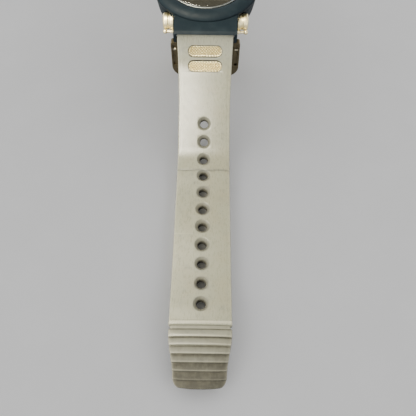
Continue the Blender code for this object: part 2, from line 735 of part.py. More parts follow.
def make_buckle(materials):
    _, y, z = short_pin_place().translation
    pin = Matrix.Translation((0, y, z))
    facing = Matrix(((1, 0, 0, 0), (0, 0, -1, 0), (0, 1, 0, 0), (0, 0, 0, 1)))
    frame = prism(buckle_outline(), -FRAME_THICKNESS / 2, FRAME_THICKNESS / 2)
    frame = make_object("buckle_frame", moved(frame, pin @ facing), materials["bronze"])
    reshape(frame, "pin_holes", moved(cylinder(PIN_RADIUS + 0.2, -20, 20, 14), pin @ along_x(1)))
    rod = cylinder(PIN_RADIUS, -PIN_HALF_LENGTH, PIN_HALF_LENGTH, 14)
    make_object("buckle_pin", moved(rod, pin @ along_x(1)), materials["steel"])
    side = prism(tongue_outline(), -TONGUE_WIDTH / 2, TONGUE_WIDTH / 2)
    tongue = make_object("buckle_tongue", moved(side, pin @ side_plane(-1)), materials["bronze"])
    reshape(tongue, "bore", moved(cylinder(PIN_RADIUS + 0.25, -5, 5, 14), pin @ along_x(1)))


def main():
    clear_scene()
    materials = make_materials()
    frame = make_case_frame()
    make_case_body(materials, frame)
    make_window(materials, frame)
    make_module(materials, frame)
    make_back(materials, frame)
    make_pushers(materials, frame)
    make_strap_bars(materials, frame)
    make_strap_long(materials)
    make_strap_short(materials)
    make_keepers(materials)
    make_buckle(materials)


main()
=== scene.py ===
"""Looks for the dive computer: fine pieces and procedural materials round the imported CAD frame."""

import bmesh
import bpy
import numpy as np
from math import cos, pi, radians, sin, sqrt, tau
from mathutils import Matrix, Vector


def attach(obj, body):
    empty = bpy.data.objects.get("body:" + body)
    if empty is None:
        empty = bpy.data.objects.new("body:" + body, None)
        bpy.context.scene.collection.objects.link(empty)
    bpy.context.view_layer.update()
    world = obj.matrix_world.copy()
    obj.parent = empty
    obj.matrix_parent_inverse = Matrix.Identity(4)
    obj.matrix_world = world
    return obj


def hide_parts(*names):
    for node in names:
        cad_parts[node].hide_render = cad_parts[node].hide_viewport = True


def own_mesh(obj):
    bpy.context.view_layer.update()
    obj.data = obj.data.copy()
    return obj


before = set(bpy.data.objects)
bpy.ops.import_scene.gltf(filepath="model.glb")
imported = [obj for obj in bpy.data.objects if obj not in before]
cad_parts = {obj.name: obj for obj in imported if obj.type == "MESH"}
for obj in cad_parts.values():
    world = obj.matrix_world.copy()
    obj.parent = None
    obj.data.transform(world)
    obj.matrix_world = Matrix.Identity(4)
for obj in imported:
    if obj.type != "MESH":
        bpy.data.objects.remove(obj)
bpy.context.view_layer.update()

MM = 0.001

# The case's place and tilt, and its parts, in millimetres and degrees as in the CAD
CASE_CENTRE = (0.0, 64.17, 40.0)
CASE_TILT = 10.0
HOOD_HALF_WIDTH = 13.3
CHANNEL_HALF_WIDTH = 12.15
BAR_OUT = 27.2
BAR_HEIGHT = -5.35
CHANNEL_RADIUS = 4.1
BUTTON_OUT = 18.5
BUTTON_HEIGHT = -7.1
SPRING_RADIUS = 1.6
SPRING_WIRE = 0.22
SPRING_START = 10.8
SPRING_RISE = 4.68
SPRING_TURNS = 4
STUD_REACH = 4.5
STUD_ANGLE = 198.0
SCREW_CIRCLE = 19.8
SCREW_ANGLES = (62.0, 118.0, 242.0, 298.0)
ROUND_STEPS = 144

# Straps
ROOT_OUT = 29.26
ROOT_HEIGHT = -2.07
ROOT_STEEPNESS = 69.5
ROOT_WIDTH = 23.8
STRAP_WIDTH = 22.0
TAPER_LENGTH = 28.0
ROOT_THICKNESS = 4.0
STRAP_THICKNESS = 3.2
THINNING_LENGTH = 20.0
# Lengths along the outer side, each with the degrees it turns through
LONG_RUNS = ((17.5, -53.1), (30.5, 0.0), (6.0, -21.9), (69.4, -11.5), (21.5, 31.3))
LONG_LENGTH = sum(run for run, _ in LONG_RUNS)
HOLE_COUNT = 11
FIRST_HOLE = 38.05
HOLE_PITCH = 7.79
HOLE_RADIUS = 1.75
HOLE_RIM_RADIUS = 2.8
COUNTERSINK_DEPTH = 0.9
SLOT_CENTRES = (7.4, 13.3)
SLOT_LENGTH = 14.6
SLOT_WIDTH = 4.6
SLOT_DEPTH = 1.5
LIP_AT = 122.4
RIB_START = 124.9
RIB_COUNT = 7
RIB_PITCH = 2.82
RIB_DEPTH = 0.8
TIP_WIDTH = 18.2
TIP_THICKNESS = 2.7
TIP_ROUNDING = 4.4
CREASE_AT = 58.85
CREASE_DEPTH = 0.06
SCRATCH_AT = 88.0
WAVE_AT = 95.0
WAVE_LENGTH = 45.0
WAVE_HEIGHT = 0.3
SHORT_FLAT = 7.1
END_RADIUS = 21.5
END_TURN = 83.0
PIN_DEPTH = 2.1
MARGIN = 1.5
MARGIN_DROP = 0.04
STRAP_CROWN = 0.35
UNDERSIDE_LIFT = 0.04
TOP_CORNER = 0.45
UNDER_CORNER = 0.7
END_ROUNDING = 0.3
FINE_STEPS = (-0.45, -0.3, -0.15, 0.0, 0.15, 0.3, 0.45)

# Knurled plates in the strap's slots, with heights from the strap's outer side
PLATE_GAP = 0.6
PLATE_TOP = -0.8
PLATE_BOTTOM = -1.42
PLATE_COLUMNS = 170
PLATE_ROWS = 48
KNURL_PITCH = 1.2
KNURL_DEPTH = 0.42

# Display: the bars lit for each figure, named clockwise from the top, with g in the middle
DIGIT_BARS = {
    1: "bc", 2: "abdeg", 3: "abcdg", 4: "bcfg", 5: "acdfg", 7: "abc", 8: "abcdefg",
}
INK_LOW = -5.18
INK_HIGH = -5.1

# Light and camera, in metres and watts
FLOOR_HALF_SIZE = 1.5
FLOOR_HEIGHT = -0.0001
RING_LIGHT = 2.0
ZENITH_LIGHT = 0.1
WARM_LIGHT = (1.0, 0.93, 0.76)
CAMERA_PLACE = (0.0021, -0.11229, 0.15463)
CAMERA_PITCH = 28.5
CAMERA_ROLL = 0.75
CAMERA_LENS = 37.21

CASE_MATRIX = Matrix.Translation(CASE_CENTRE) @ Matrix.Rotation(radians(CASE_TILT), 4, "X")


# Shapes: pairs of a list of points and a list of faces, in millimetres

def rounded(outline, radius, closed=False, steps=4):
    """An outline with its corners softened by short curves."""
    points = [Vector(point) for point in outline]
    count = len(points)
    result = []
    for index, point in enumerate(points):
        if not closed and index in (0, count - 1):
            result.append(tuple(point))
            continue
        before = points[index - 1] - point
        after = points[(index + 1) % count] - point
        reach = min(radius, before.length * 0.45, after.length * 0.45)
        start = point + before.normalized() * reach
        end = point + after.normalized() * reach
        for step in range(steps + 1):
            t = step / steps
            result.append(tuple(start * (1 - t) ** 2 + point * 2 * t * (1 - t) + end * t ** 2))
    return result


def arc(centre, radius, start, end, steps):
    angles = [radians(start + (end - start) * step / steps) for step in range(steps + 1)]
    return [(centre[0] + radius * cos(a), centre[1] + radius * sin(a)) for a in angles]


def lofted(sections, ring=False):
    """Closed outlines with equal numbers of points joined in turn, with flat ends or as a ring."""
    count = len(sections[0])
    points = [point for section in sections for point in section]
    faces = [] if ring else [tuple(range(count)), tuple(range(len(points) - count, len(points)))]
    for row in range(len(sections) if ring else len(sections) - 1):
        low = row * count
        high = (row + 1) % len(sections) * count
        for index in range(count):
            after = (index + 1) % count
            faces.append((low + index, low + after, high + after, high + index))
    return points, faces


def prism(outline, low, high):
    return lofted([[(x, y, height) for x, y in outline] for height in (low, high)])


def turned(profile, steps=ROUND_STEPS):
    """A profile of (radius, height) points turned about Z: flat ends on the axis, or a closed ring."""
    meets_axis = profile[0][0] == 0
    rings = [point for point in profile if point[0] > 0] if meets_axis else profile
    angles = [tau * step / steps for step in range(steps)]
    points = []
    for radius, height in rings:
        points += [(radius * cos(angle), radius * sin(angle), height) for angle in angles]
    faces = []
    for row in range(len(rings) - 1 if meets_axis else len(rings)):
        first = row * steps
        second = (row + 1) % len(rings) * steps
        for step in range(steps):
            after = (step + 1) % steps
            faces.append((first + step, first + after, second + after, second + step))
    if meets_axis:
        faces += [tuple(range(steps)), tuple(range(len(points) - steps, len(points)))]
    return points, faces


def rectangle(width, height, corner, steps=8):
    outline = []
    for quarter in range(4):
        x = (width / 2 - corner) * (1 if quarter in (0, 3) else -1)
        y = (height / 2 - corner) * (1 if quarter in (0, 1) else -1)
        outline += arc((x, y), corner, quarter * 90, quarter * 90 + 90, steps)
    return outline


def moved(shape, matrix):
    points, faces = shape
    return [tuple(matrix @ Vector(point)) for point in points], faces


def joined(*shapes):
    points = []
    faces = []
    for shape_points, shape_faces in shapes:
        offset = len(points)
        points += shape_points
        faces += [tuple(offset + corner for corner in face) for face in shape_faces]
    return points, faces


def cylinder(radius, low, high, steps=48, at=(0.0, 0.0)):
    shape = turned([(0, low), (radius, low), (radius, high), (0, high)], steps)
    return moved(shape, Matrix.Translation((at[0], at[1], 0.0)))


def box(width, depth, height, centre):
    half = (width / 2, depth / 2)
    outline = [(-half[0], -half[1]), (half[0], -half[1]), (half[0], half[1]), (-half[0], half[1])]
    return moved(prism(outline, -height / 2, height / 2), Matrix.Translation(centre))


def on_circle(radius, angle):
    return radius * cos(radians(angle)), radius * sin(radians(angle))


def side_plane(side):
    """Turns an outline in X and Y into (out, height) on one side of the case, extruded along X."""
    return Matrix(((0, 0, 1, 0), (side, 0, 0, 0), (0, 1, 0, 0), (0, 0, 0, 1)))


def along_x(direction):
    return Matrix.Rotation(direction * pi / 2, 4, "Y")


# Objects

def plain_object(name, shape, split=False):
    """A mesh object; its faces are split into triangles where they are too uneven to cut cleanly."""
    points, faces = shape
    mesh = bpy.data.meshes.new(name)
    mesh.from_pydata([Vector(point) * MM for point in points], [], faces)
    edit = bmesh.new()
    edit.from_mesh(mesh)
    bmesh.ops.recalc_face_normals(edit, faces=edit.faces)
    if split:
        bmesh.ops.triangulate(edit, faces=edit.faces)
    edit.to_mesh(mesh)
    edit.free()
    item = bpy.data.objects.new(name, mesh)
    bpy.context.scene.collection.objects.link(item)
    return item


def piece(name, body, material, shape, replaces=(), adds=(), cuts=(), bevel=0.0, sharp=32,
          split=False):
    """A finished piece: shapes added and cut, edges softened, shaded, and riding on its body."""
    item = plain_object(name, shape, split)
    guides = []
    for operation, extras in (("UNION", adds), ("DIFFERENCE", cuts)):
        for extra in extras:
            guide = plain_object("guide", extra)
            boolean = item.modifiers.new("shape", "BOOLEAN")
            boolean.operation = operation
            boolean.solver = "EXACT"
            boolean.object = guide
            guides.append(guide)
    if bevel:
        edges = item.modifiers.new("edges", "BEVEL")
        edges.width = bevel * MM
        edges.segments = 3
        edges.limit_method = "ANGLE"
        edges.angle_limit = radians(sharp)
    bpy.context.view_layer.update()
    mesh = bpy.data.meshes.new_from_object(item.evaluated_get(bpy.context.evaluated_depsgraph_get()))
    item.modifiers.clear()
    item.data = mesh
    for guide in guides:
        bpy.data.objects.remove(guide, do_unlink=True)
    mesh.shade_smooth()
    mesh.set_sharp_from_angle(angle=radians(sharp))
    mesh.materials.clear()
    mesh.materials.append(material)
    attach(item, body)
    if replaces:
        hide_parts(*replaces)
    return item


# Materials

class Surface:
    """A Principled material with a few helpers for its procedural detail."""

    def __init__(self, name, colour, roughness, **sockets):
        self.material = bpy.data.materials.new(name)
        self.material.use_nodes = True
        self.nodes = self.material.node_tree.nodes
        self.links = self.material.node_tree.links
        self.shader = self.nodes["Principled BSDF"]
        self.shader.inputs["Base Color"].default_value = (*colour, 1.0)
        self.shader.inputs["Roughness"].default_value = roughness
        for socket, value in sockets.items():
            self.shader.inputs[socket.replace("_", " ")].default_value = value
        self.place = self.nodes.new("ShaderNodeTexCoord").outputs["Object"]
        self.normal = None

    def stretched(self, scale):
        mapping = self.nodes.new("ShaderNodeMapping")
        mapping.inputs["Scale"].default_value = scale
        self.links.new(self.place, mapping.inputs["Vector"])
        return mapping.outputs["Vector"]

    def noise(self, size, detail=4.0, stretch=None, roughness=0.55, distortion=0.0):
        """Noise whose features are about size millimetres across."""
        texture = self.nodes.new("ShaderNodeTexNoise")
        texture.inputs["Scale"].default_value = 1.0 / (size * MM)
        texture.inputs["Detail"].default_value = detail
        texture.inputs["Roughness"].default_value = roughness
        texture.inputs["Distortion"].default_value = distortion
        self.links.new(self.stretched(stretch) if stretch else self.place, texture.inputs["Vector"])
        return texture.outputs["Fac"]

    def ramp(self, factor, low, high, low_value=0.0, high_value=1.0):
        node = self.nodes.new("ShaderNodeMapRange")
        node.interpolation_type = "SMOOTHSTEP"
        node.inputs["From Min"].default_value = low
        node.inputs["From Max"].default_value = high
        node.inputs["To Min"].default_value = low_value
        node.inputs["To Max"].default_value = high_value
        self.links.new(factor, node.inputs["Value"])
        return node.outputs["Result"]

    def math(self, operation, first, second=None):
        node = self.nodes.new("ShaderNodeMath")
        node.operation = operation
        for socket, value in zip(node.inputs, (first, second)):
            if isinstance(value, (int, float)):
                socket.default_value = value
            elif value is not None:
                self.links.new(value, socket)
        return node.outputs["Value"]

    def attribute(self, name):
        node = self.nodes.new("ShaderNodeAttribute")
        node.attribute_name = name
        return node.outputs["Fac"]

    def tint(self, factor, colour, strength=1.0):
        """Mixes a colour into the base colour where factor is high."""
        base = self.shader.inputs["Base Color"]
        mix = self.nodes.new("ShaderNodeMix")
        mix.data_type = "RGBA"
        if base.is_linked:
            self.links.new(base.links[0].from_socket, mix.inputs[6])
        else:
            mix.inputs[6].default_value = base.default_value
        mix.inputs[7].default_value = (*colour, 1.0)
        self.links.new(self.math("MULTIPLY", factor, strength), mix.inputs["Factor"])
        self.links.new(mix.outputs[2], base)

    def vary_roughness(self, factor, low, high):
        self.links.new(self.ramp(factor, 0.3, 0.7, low, high), self.shader.inputs["Roughness"])

    def grid(self, scale, line):
        """Lines round bricks, scale to the metre."""
        node = self.nodes.new("ShaderNodeTexBrick")
        node.inputs["Scale"].default_value = scale
        node.inputs["Mortar Size"].default_value = line
        self.links.new(self.place, node.inputs["Vector"])
        return node

    def bump(self, height, depth, strength):
        """Adds relief of about depth millimetres."""
        node = self.nodes.new("ShaderNodeBump")
        node.inputs["Distance"].default_value = depth * MM
        node.inputs["Strength"].default_value = strength
        self.links.new(height, node.inputs["Height"])
        if self.normal:
            self.links.new(self.normal, node.inputs["Normal"])
        self.normal = node.outputs["Normal"]
        self.links.new(self.normal, self.shader.inputs["Normal"])


def urethane_material():
    """Grey, slightly milky urethane: satin from handling, scuffed, with dirt and painted shade in its low
    places, wear and painted highlights on crests and edges, and a painted shade line along the crease.
    """
    surface = Surface("urethane", (0.165, 0.168, 0.126), 0.3, IOR=1.5, Specular_IOR_Level=0.65,
                      Subsurface_Weight=0.05, Subsurface_Scale=0.001)
    surface.shader.inputs["Subsurface Radius"].default_value = (1.0, 0.9, 0.7)
    clouds = surface.noise(9.0, 3.0)
    surface.tint(surface.ramp(clouds, 0.42, 0.68), (0.165, 0.158, 0.112), 0.6)
    mottle = surface.noise(2.2, 5.0, roughness=0.65)
    surface.tint(surface.ramp(mottle, 0.5, 0.72), (0.088, 0.094, 0.08), 0.45)
    streaks = surface.noise(1.4, 4.0, stretch=(1.0, 0.12, 0.12))
    surface.tint(surface.ramp(streaks, 0.55, 0.75), (0.18, 0.18, 0.145), 0.35)
    # Dirt and painted shade: darkens the holes, slots, groove and rib valleys, most towards the tip.
    dirt_and_shade = surface.math("MULTIPLY", surface.attribute("dirt_and_shade"), surface.ramp(mottle, 0.25, 0.6, 0.85, 1.0))
    surface.tint(dirt_and_shade, (0.011, 0.0098, 0.0058), 0.95)
    # Wear on the lip and a scratch, with painted highlights on the rib crests and long edges.
    surface.tint(surface.attribute("wear_and_highlight"), (0.34, 0.33, 0.26), 0.6)
    # Painted shade: a dark line along the crease.
    surface.tint(surface.attribute("crease_shade"), (0.04, 0.043, 0.04), 0.65)
    scuffs = surface.noise(0.5, 6.0, stretch=(1.0, 0.25, 0.25), roughness=0.7)
    gloss = surface.ramp(scuffs, 0.3, 0.7, 0.24, 0.36)
    dull = surface.math("ADD", gloss, surface.math("MULTIPLY", surface.attribute("dirt_and_shade"), 0.6))
    surface.links.new(dull, surface.shader.inputs["Roughness"])
    surface.bump(surface.noise(0.28, 3.0), 0.012, 0.55)
    surface.bump(surface.ramp(scuffs, 0.56, 0.7), 0.008, 0.5)
    surface.bump(surface.noise(14.0, 2.0), 0.22, 0.6)
    return surface.material


def navy_material():
    """Dark blue-grey composite, finely bead-blasted, rubbed a little paler here and there."""
    surface = Surface("navy_composite", (0.006, 0.0105, 0.014), 0.5, Specular_IOR_Level=0.09)
    surface.tint(surface.ramp(surface.noise(6.0, 4.0), 0.45, 0.7), (0.01, 0.016, 0.02), 0.6)
    rubbed = surface.ramp(surface.noise(1.1, 6.0, roughness=0.7), 0.6, 0.78)
    surface.tint(rubbed, (0.025, 0.031, 0.034), 0.3)
    surface.tint(surface.ramp(surface.noise(0.35, 2.0), 0.6, 0.7), (0.008, 0.011, 0.014), 0.3)
    surface.vary_roughness(surface.noise(2.5, 5.0), 0.45, 0.58)
    surface.bump(surface.noise(0.22, 2.0), 0.015, 0.5)
    return surface.material


def metal_material(name, colour, dark, roughness, grain=(1.0, 1.0, 1.0), tarnish=0.4):
    """Satin metal with a fine grain, small scratches and some tarnish."""
    surface = Surface(name, colour, roughness, Metallic=1.0)
    surface.tint(surface.ramp(surface.noise(2.4, 5.0, roughness=0.65), 0.5, 0.72), dark, tarnish)
    surface.tint(surface.ramp(surface.noise(0.5, 4.0), 0.6, 0.75), dark, tarnish * 0.5)
    fine = surface.noise(0.12, 4.0, stretch=grain, roughness=0.7)
    surface.vary_roughness(fine, roughness * 0.8, min(roughness * 1.45, 1.0))
    surface.bump(fine, 0.006, 0.5)
    scratches = surface.ramp(surface.noise(0.35, 6.0, stretch=(0.15, 1.6, 1.0), distortion=0.6), 0.62, 0.7)
    surface.bump(scratches, 0.004, 0.4)
    return surface.material


def knurl_material():
    """Champagne metal like the pushers, with dirt and painted shade darkening the bottoms of its grooves."""
    surface = Surface("knurled_metal", (1.0, 0.90, 0.56), 0.4, Metallic=1.0)
    surface.tint(surface.ramp(surface.noise(1.5, 4.0), 0.5, 0.75), (0.62, 0.52, 0.30), 0.3)
    # Dirt and painted shade: darker with the depth of each groove.
    surface.tint(surface.ramp(surface.attribute("dirt_and_shade"), 0.25, 0.9), (0.2, 0.155, 0.075), 0.9)
    surface.vary_roughness(surface.noise(0.2, 4.0), 0.3, 0.5)
    surface.bump(surface.noise(0.12, 3.0), 0.005, 0.5)
    return surface.material


def simple_material(name, colour, second, roughness, size=0.6):
    """A plain moulded or coated finish: a little colour variation, uneven gloss and fine texture."""
    surface = Surface(name, colour, roughness)
    surface.tint(surface.ramp(surface.noise(size * 4, 4.0), 0.4, 0.7), second, 0.5)
    surface.vary_roughness(surface.noise(size * 2, 4.0), roughness * 0.85, min(roughness * 1.2, 1.0))
    surface.bump(surface.noise(size * 0.5, 3.0), 0.01, 0.5)
    return surface.material


def glass_material():
    """Mineral glass, seen through, with a faint haze of fine marks."""
    surface = Surface("crystal_glass", (0.012, 0.012, 0.01), 0.05, IOR=2.0, Alpha=0.3)
    surface.vary_roughness(surface.noise(3.0, 6.0, roughness=0.7), 0.03, 0.12)
    surface.tint(surface.ramp(surface.noise(1.2, 5.0), 0.55, 0.8), (0.05, 0.05, 0.045), 0.4)
    return surface.material


def board_material():
    """Green solder mask over tracks, with plated pads showing."""
    surface = Surface("board_mask", (0.015, 0.09, 0.04), 0.4)
    tracks = surface.grid(420.0, 0.03)
    surface.tint(tracks.outputs["Fac"], (0.03, 0.2, 0.09), 0.8)
    pads = surface.ramp(surface.noise(1.3, 1.0), 0.66, 0.68)
    surface.tint(pads, (0.6, 0.45, 0.18), 0.9)
    surface.bump(tracks.outputs["Fac"], 0.02, 0.6)
    return surface.material


def display_material():
    """Liquid crystal display: pale grey-green with a faint grid of picture cells."""
    surface = Surface("display_panel", (0.21, 0.22, 0.16), 0.3)
    cells = surface.grid(1500.0, 0.03)
    cells.offset = 0.0
    cells.inputs["Brick Width"].default_value = 0.5
    cells.inputs["Row Height"].default_value = 0.5
    surface.tint(cells.outputs["Fac"], (0.15, 0.16, 0.12), 0.35)
    surface.tint(surface.ramp(surface.noise(8.0, 2.0), 0.4, 0.7), (0.25, 0.25, 0.17), 0.4)
    surface.vary_roughness(surface.noise(2.0), 0.25, 0.36)
    return surface.material


def make_materials():
    return {
        "urethane": urethane_material(),
        "navy": navy_material(),
        "rim": metal_material("pale_rim_metal", (0.30, 0.32, 0.30), (0.16, 0.17, 0.16), 0.34),
        "glass": glass_material(),
        "champagne": metal_material("champagne_metal", (0.94, 0.82, 0.48), (0.6, 0.48, 0.25), 0.36),
        "knurl": knurl_material(),
        # Buckle bronze made very dark, as painted shade for the shadow it hangs in below the case.
        "bronze": metal_material("buckle_metal_shade_darkened", (0.13, 0.11, 0.068), (0.055, 0.045, 0.028), 0.34),
        "steel": metal_material("plain_steel", (0.56, 0.56, 0.55), (0.36, 0.35, 0.33), 0.3),
        "rod": metal_material("rod_steel", (0.34, 0.31, 0.23), (0.2, 0.17, 0.12), 0.36),
        "spring": metal_material("spring_steel", (0.45, 0.45, 0.44), (0.25, 0.24, 0.22), 0.28),
        "back": metal_material("back_metal", (0.62, 0.58, 0.47), (0.40, 0.36, 0.27), 0.32, (1.0, 0.2, 1.0)),
        "seal": simple_material("seal_rubber_black", (0.015, 0.015, 0.017), (0.03, 0.03, 0.03), 0.62),
        "mask": simple_material("mask_print", (0.055, 0.052, 0.036), (0.075, 0.07, 0.05), 0.5),
        "plastic": simple_material("black_plastic", (0.02, 0.02, 0.021), (0.035, 0.035, 0.035), 0.5),
        "ink": simple_material("display_ink", (0.012, 0.014, 0.014), (0.02, 0.022, 0.02), 0.3),
        "board": board_material(),
        "display": display_material(),
        "floor": simple_material("floor_paper", (0.88, 0.87, 0.85), (0.92, 0.91, 0.89), 0.9, 6.0),
    }


# Case

def hood_outline():
    """Side view of a strap hood: distance out from the case centre, and height."""
    roll = [(14.0, -0.5), (22.5, -0.5), (24.5, -0.55), (26.0, -0.68), (27.2, -0.87), (28.3, -1.15),
            (29.2, -1.52)]
    lip = [(29.85, -1.95), (29.85, -2.8)]
    under = rounded([lip[-1], (29.6, -7.0), (28.2, -8.9), (25.0, -9.7), (22.0, -12.35), (14.0, -12.35)], 1.2)
    return roll + lip + under[1:]


def gusset_outline():
    """Plan of the fillets between a hood's sides and the ring above."""
    curve = [(15.1, 18.9), (14.3, 19.9), (13.75, 21.0), (13.4, 22.3), (13.2, 23.6)]
    return curve + [(-x, y) for x, y in reversed(curve)] + [(-15.1, 12), (15.1, 12)]


def channel_outline():
    roof = arc((BAR_OUT, BAR_HEIGHT), CHANNEL_RADIUS, 52, 220, 36)
    return roof + [(24.6, -15.0), (31.0, -15.0), (31.0, roof[0][1])]


def button_place(across, along):
    """The point on a pusher's axis where it crosses the case's YZ plane, with its direction."""
    return Matrix.Translation((0.0, along * BUTTON_OUT, BUTTON_HEIGHT)) @ along_x(across)


def make_case(materials):
    side = rounded([(0, -13.6), (21.2, -13.6), (22.0, -12.8), (22.9, -6.0), (22.9, -1.0), (0, -1.0)], 0.8)
    adds = []
    cuts = [
        cylinder(24.7, -2.5, 3.0, ROUND_STEPS), cylinder(15.8, -5.0, 0.0, 96),
        cylinder(18.5, -14.6, -4.0, 96), cylinder(20.9, -14.6, -12.6, ROUND_STEPS),
    ]
    for along in (-1, 1):
        hood = prism(hood_outline(), -HOOD_HALF_WIDTH, HOOD_HALF_WIDTH)
        adds.append(moved(hood, side_plane(along)))
        adds.append(moved(prism(gusset_outline(), -3.1, -0.9), Matrix.Scale(along, 4, (0, 1, 0))))
        channel = prism(channel_outline(), -CHANNEL_HALF_WIDTH, CHANNEL_HALF_WIDTH)
        cuts.append(moved(channel, side_plane(along)))
        bar = Matrix.Translation((0, along * BAR_OUT, BAR_HEIGHT)) @ along_x(1)
        cuts.append(moved(cylinder(1.2, -15, 15, 32), bar))
        for across in (-1, 1):
            place = button_place(across, along)
            well = [(0, 13.4), (4.0, 13.4), (4.0, 21.0), (0, 21.0)]
            cuts.append(moved(turned(well, 64), place))
            cuts.append(moved(cylinder(2.2, 10.5, 14.3, 32), place))
            cuts.append(moved(cylinder(1.2, 8.0, 11.0, 24), place))
    pockets = [box(5.5, 8.3, 3.5, (x, y, -6.65)) for x in (-6.25, 6.25) for y in (-16.15, 16.15)]
    cuts.append(joined(*pockets))
    cuts.append(joined(*[cylinder(0.95, -13.5, -9.2, 20, on_circle(SCREW_CIRCLE, a)) for a in SCREW_ANGLES]))
    in_case("case_shell", "case", materials["navy"], turned(side), ["case_body"], cuts,
            bevel=0.22, adds=adds)


def in_case(name, body, material, shape, replaces=(), cuts=(), bevel=0.0, adds=()):
    """A piece given in the case's own frame."""
    return piece(name, body, material, moved(shape, CASE_MATRIX), replaces,
                 [moved(add, CASE_MATRIX) for add in adds], [moved(cut, CASE_MATRIX) for cut in cuts], bevel)


def make_window(materials):
    bezel = [
        (19.0, -2.45), (23.5, -2.45), (24.2, -1.85), (24.4, -1.0), (24.25, -0.3), (23.7, 0.35), (22.6, 0.95),
        (21.2, 1.22), (20.0, 1.17), (19.25, 0.92), (19.0, 0.55),
    ]
    in_case("bezel", "case", materials["navy"], turned(rounded(bezel, 0.6, True, 3)),
            ["bezel_ring"])
    rim = rounded([(18.0, -2.2), (18.7, -2.2), (18.7, 0.75), (18.45, 0.8), (18.0, 0.55)], 0.12, True, 3)
    in_case("crystal_rim", "case", materials["rim"], turned(rim), ["crystal_retainer"])
    glass = [(0, -1.4), (17.7, -1.4), (17.7, 0.1), (17.3, 0.42), (16.4, 0.5), (0, 0.5)]
    in_case("crystal_glass", "case", materials["glass"], turned(rounded(glass, 0.15)), ["crystal"])


def segment(x, y, length, upright, width):
    """One bar of a seven-bar digit, pointed at both ends."""
    half = length / 2 - 0.06
    rise = width / 2
    flat = half - rise
    outline = [(-half, 0), (-flat, rise), (flat, rise), (half, 0), (flat, -rise), (-flat, -rise)]
    turn = Matrix.Translation((x, y, 0)) @ Matrix.Rotation(pi / 2 if upright else 0.0, 4, "Z")
    return moved(prism(outline, INK_LOW, INK_HIGH), turn)


def digit(value, x, y, height):
    bar = height / 2
    spots = {
        "a": (0, bar, False), "g": (0, 0, False), "d": (0, -bar, False), "f": (-bar / 2, bar / 2, True),
        "b": (bar / 2, bar / 2, True), "e": (-bar / 2, -bar / 2, True), "c": (bar / 2, -bar / 2, True),
    }
    lit = [spots[name] for name in DIGIT_BARS[value]]
    return [segment(x + across, y + up, bar, upright, height * 0.09) for across, up, upright in lit]


def make_display(materials):
    """What the display shows: a depth and two times in plain digits, with a row of bars."""
    shapes = []
    for value, x in ((1, -6.6), (8, -1.6), (4, 4.4)):
        shapes += digit(value, x, 3.9, 7.0)
    shapes.append(segment(1.4, 0.4, 0.9, False, 0.75))
    for value, x in ((3, -9.3), (2, -6.6), (5, 5.2), (7, 7.9)):
        shapes += digit(value, x, -5.0, 3.6)
    for index in range(7):
        shapes.append(segment(-2.6 + index * 0.95, -5.0 - 1.0 + index * 0.17, 0.8 + index * 0.35, True, 0.55))
    shapes.append(segment(0.0, -2.0, 20.0, False, 0.22))
    in_case("lcd_digits", "case", materials["ink"], joined(*shapes))


def make_back(materials):
    profile = [
        (11.2, -12.9), (11.2, -14.0), (12.6, -14.0), (12.75, -13.85), (13.0, -13.85), (13.15, -14.0),
        (17.3, -14.0), (17.45, -13.85), (17.7, -13.85), (17.85, -14.0), (20.3, -14.0), (20.6, -13.7),
        (20.6, -12.9),
    ]
    spots = [on_circle(SCREW_CIRCLE, angle) for angle in SCREW_ANGLES]
    sink = [(0, -15.0), (1.75, -15.0), (1.75, -14.0), (1.5, -13.8), (1.5, -13.3), (0, -13.3)]
    sinks = [moved(turned(sink, 32), Matrix.Translation((*spot, 0))) for spot in spots]
    holes = [cylinder(0.95, -14.5, -12.0, 20, spot) for spot in spots]
    contacts = [cylinder(1.0, -15.0, -12.0, 24, (x, -14.4)) for x in (-4.0, 4.0)]
    cuts = [joined(*sinks), joined(*holes), joined(*contacts)]
    cuts += [cylinder(2.5, -15.0, -13.3, 40, (0, 14.2)), cylinder(1.5, -14.5, -12.0, 24, (0, 14.2))]
    in_case("back_plate", "case", materials["back"], turned(profile), ["caseback"],
            cuts)
    for index, spot in enumerate(spots, start=1):
        profile = [(0, -14.0), (0.95, -14.0), (1.2, -13.85), (1.2, -13.5), (0.7, -13.5), (0.7, -9.6),
                   (0, -9.6)]
        place = Matrix.Translation((*spot, 0)) @ Matrix.Rotation(radians(SCREW_ANGLES[index - 1]), 4, "Z")
        cross = [moved(box(*size, 0.7, (0, 0, -14.0)), place) for size in ((1.5, 0.3), (0.3, 1.5))]
        in_case(f"back_screw_{index}", "case", materials["steel"], moved(turned(profile, 32), place),
                [f"caseback_screw_{index}"], cross)
    mesh_holes = [cylinder(0.2, -14.4, -13.95, 10, (x * 0.75 + (y % 2) * 0.375, 14.2 + y * 0.65))
                  for y in range(-2, 3) for x in range(-2, 3) if abs(x * 0.75 + (y % 2) * 0.375) < 1.5]
    disc = rounded([(0, -14.1), (2.2, -14.1), (2.2, -13.6), (0, -13.6)], 0.12)
    in_case("sensor_grille", "case", materials["steel"], turned(disc, 48), ["sensor_filter"],
            [joined(*mesh_holes)])
    for name, x in (("left", -4.0), ("right", 4.0)):
        pin = [(0, -14.1), (0.5, -14.1), (0.7, -13.95), (0.7, -12.0), (0, -12.0)]
        in_case(f"contact_pin_{name}", "case", materials["champagne"],
                moved(turned(rounded(pin, 0.1), 32), Matrix.Translation((x, -14.4, 0))),
                [f"data_contact_{name}"])


def make_battery_lid(materials):
    profile = [
        (0, -14.3), (7.6, -14.3), (7.75, -14.15), (8.0, -14.15), (8.15, -14.3), (10.3, -14.3), (10.9, -13.9),
        (10.9, -13.2), (0, -13.2),
    ]
    slot = prism(rectangle(12.0, 1.6, 0.78), -14.9, -13.7)
    dimples = [cylinder(0.45, -14.6, -14.0, 16, on_circle(9.2, angle)) for angle in range(30, 360, 60)]
    in_case("battery_lid", "battery_cover", materials["back"],
            turned(rounded(profile, 0.08)), ["battery_cover"], [slot, joined(*dimples)])


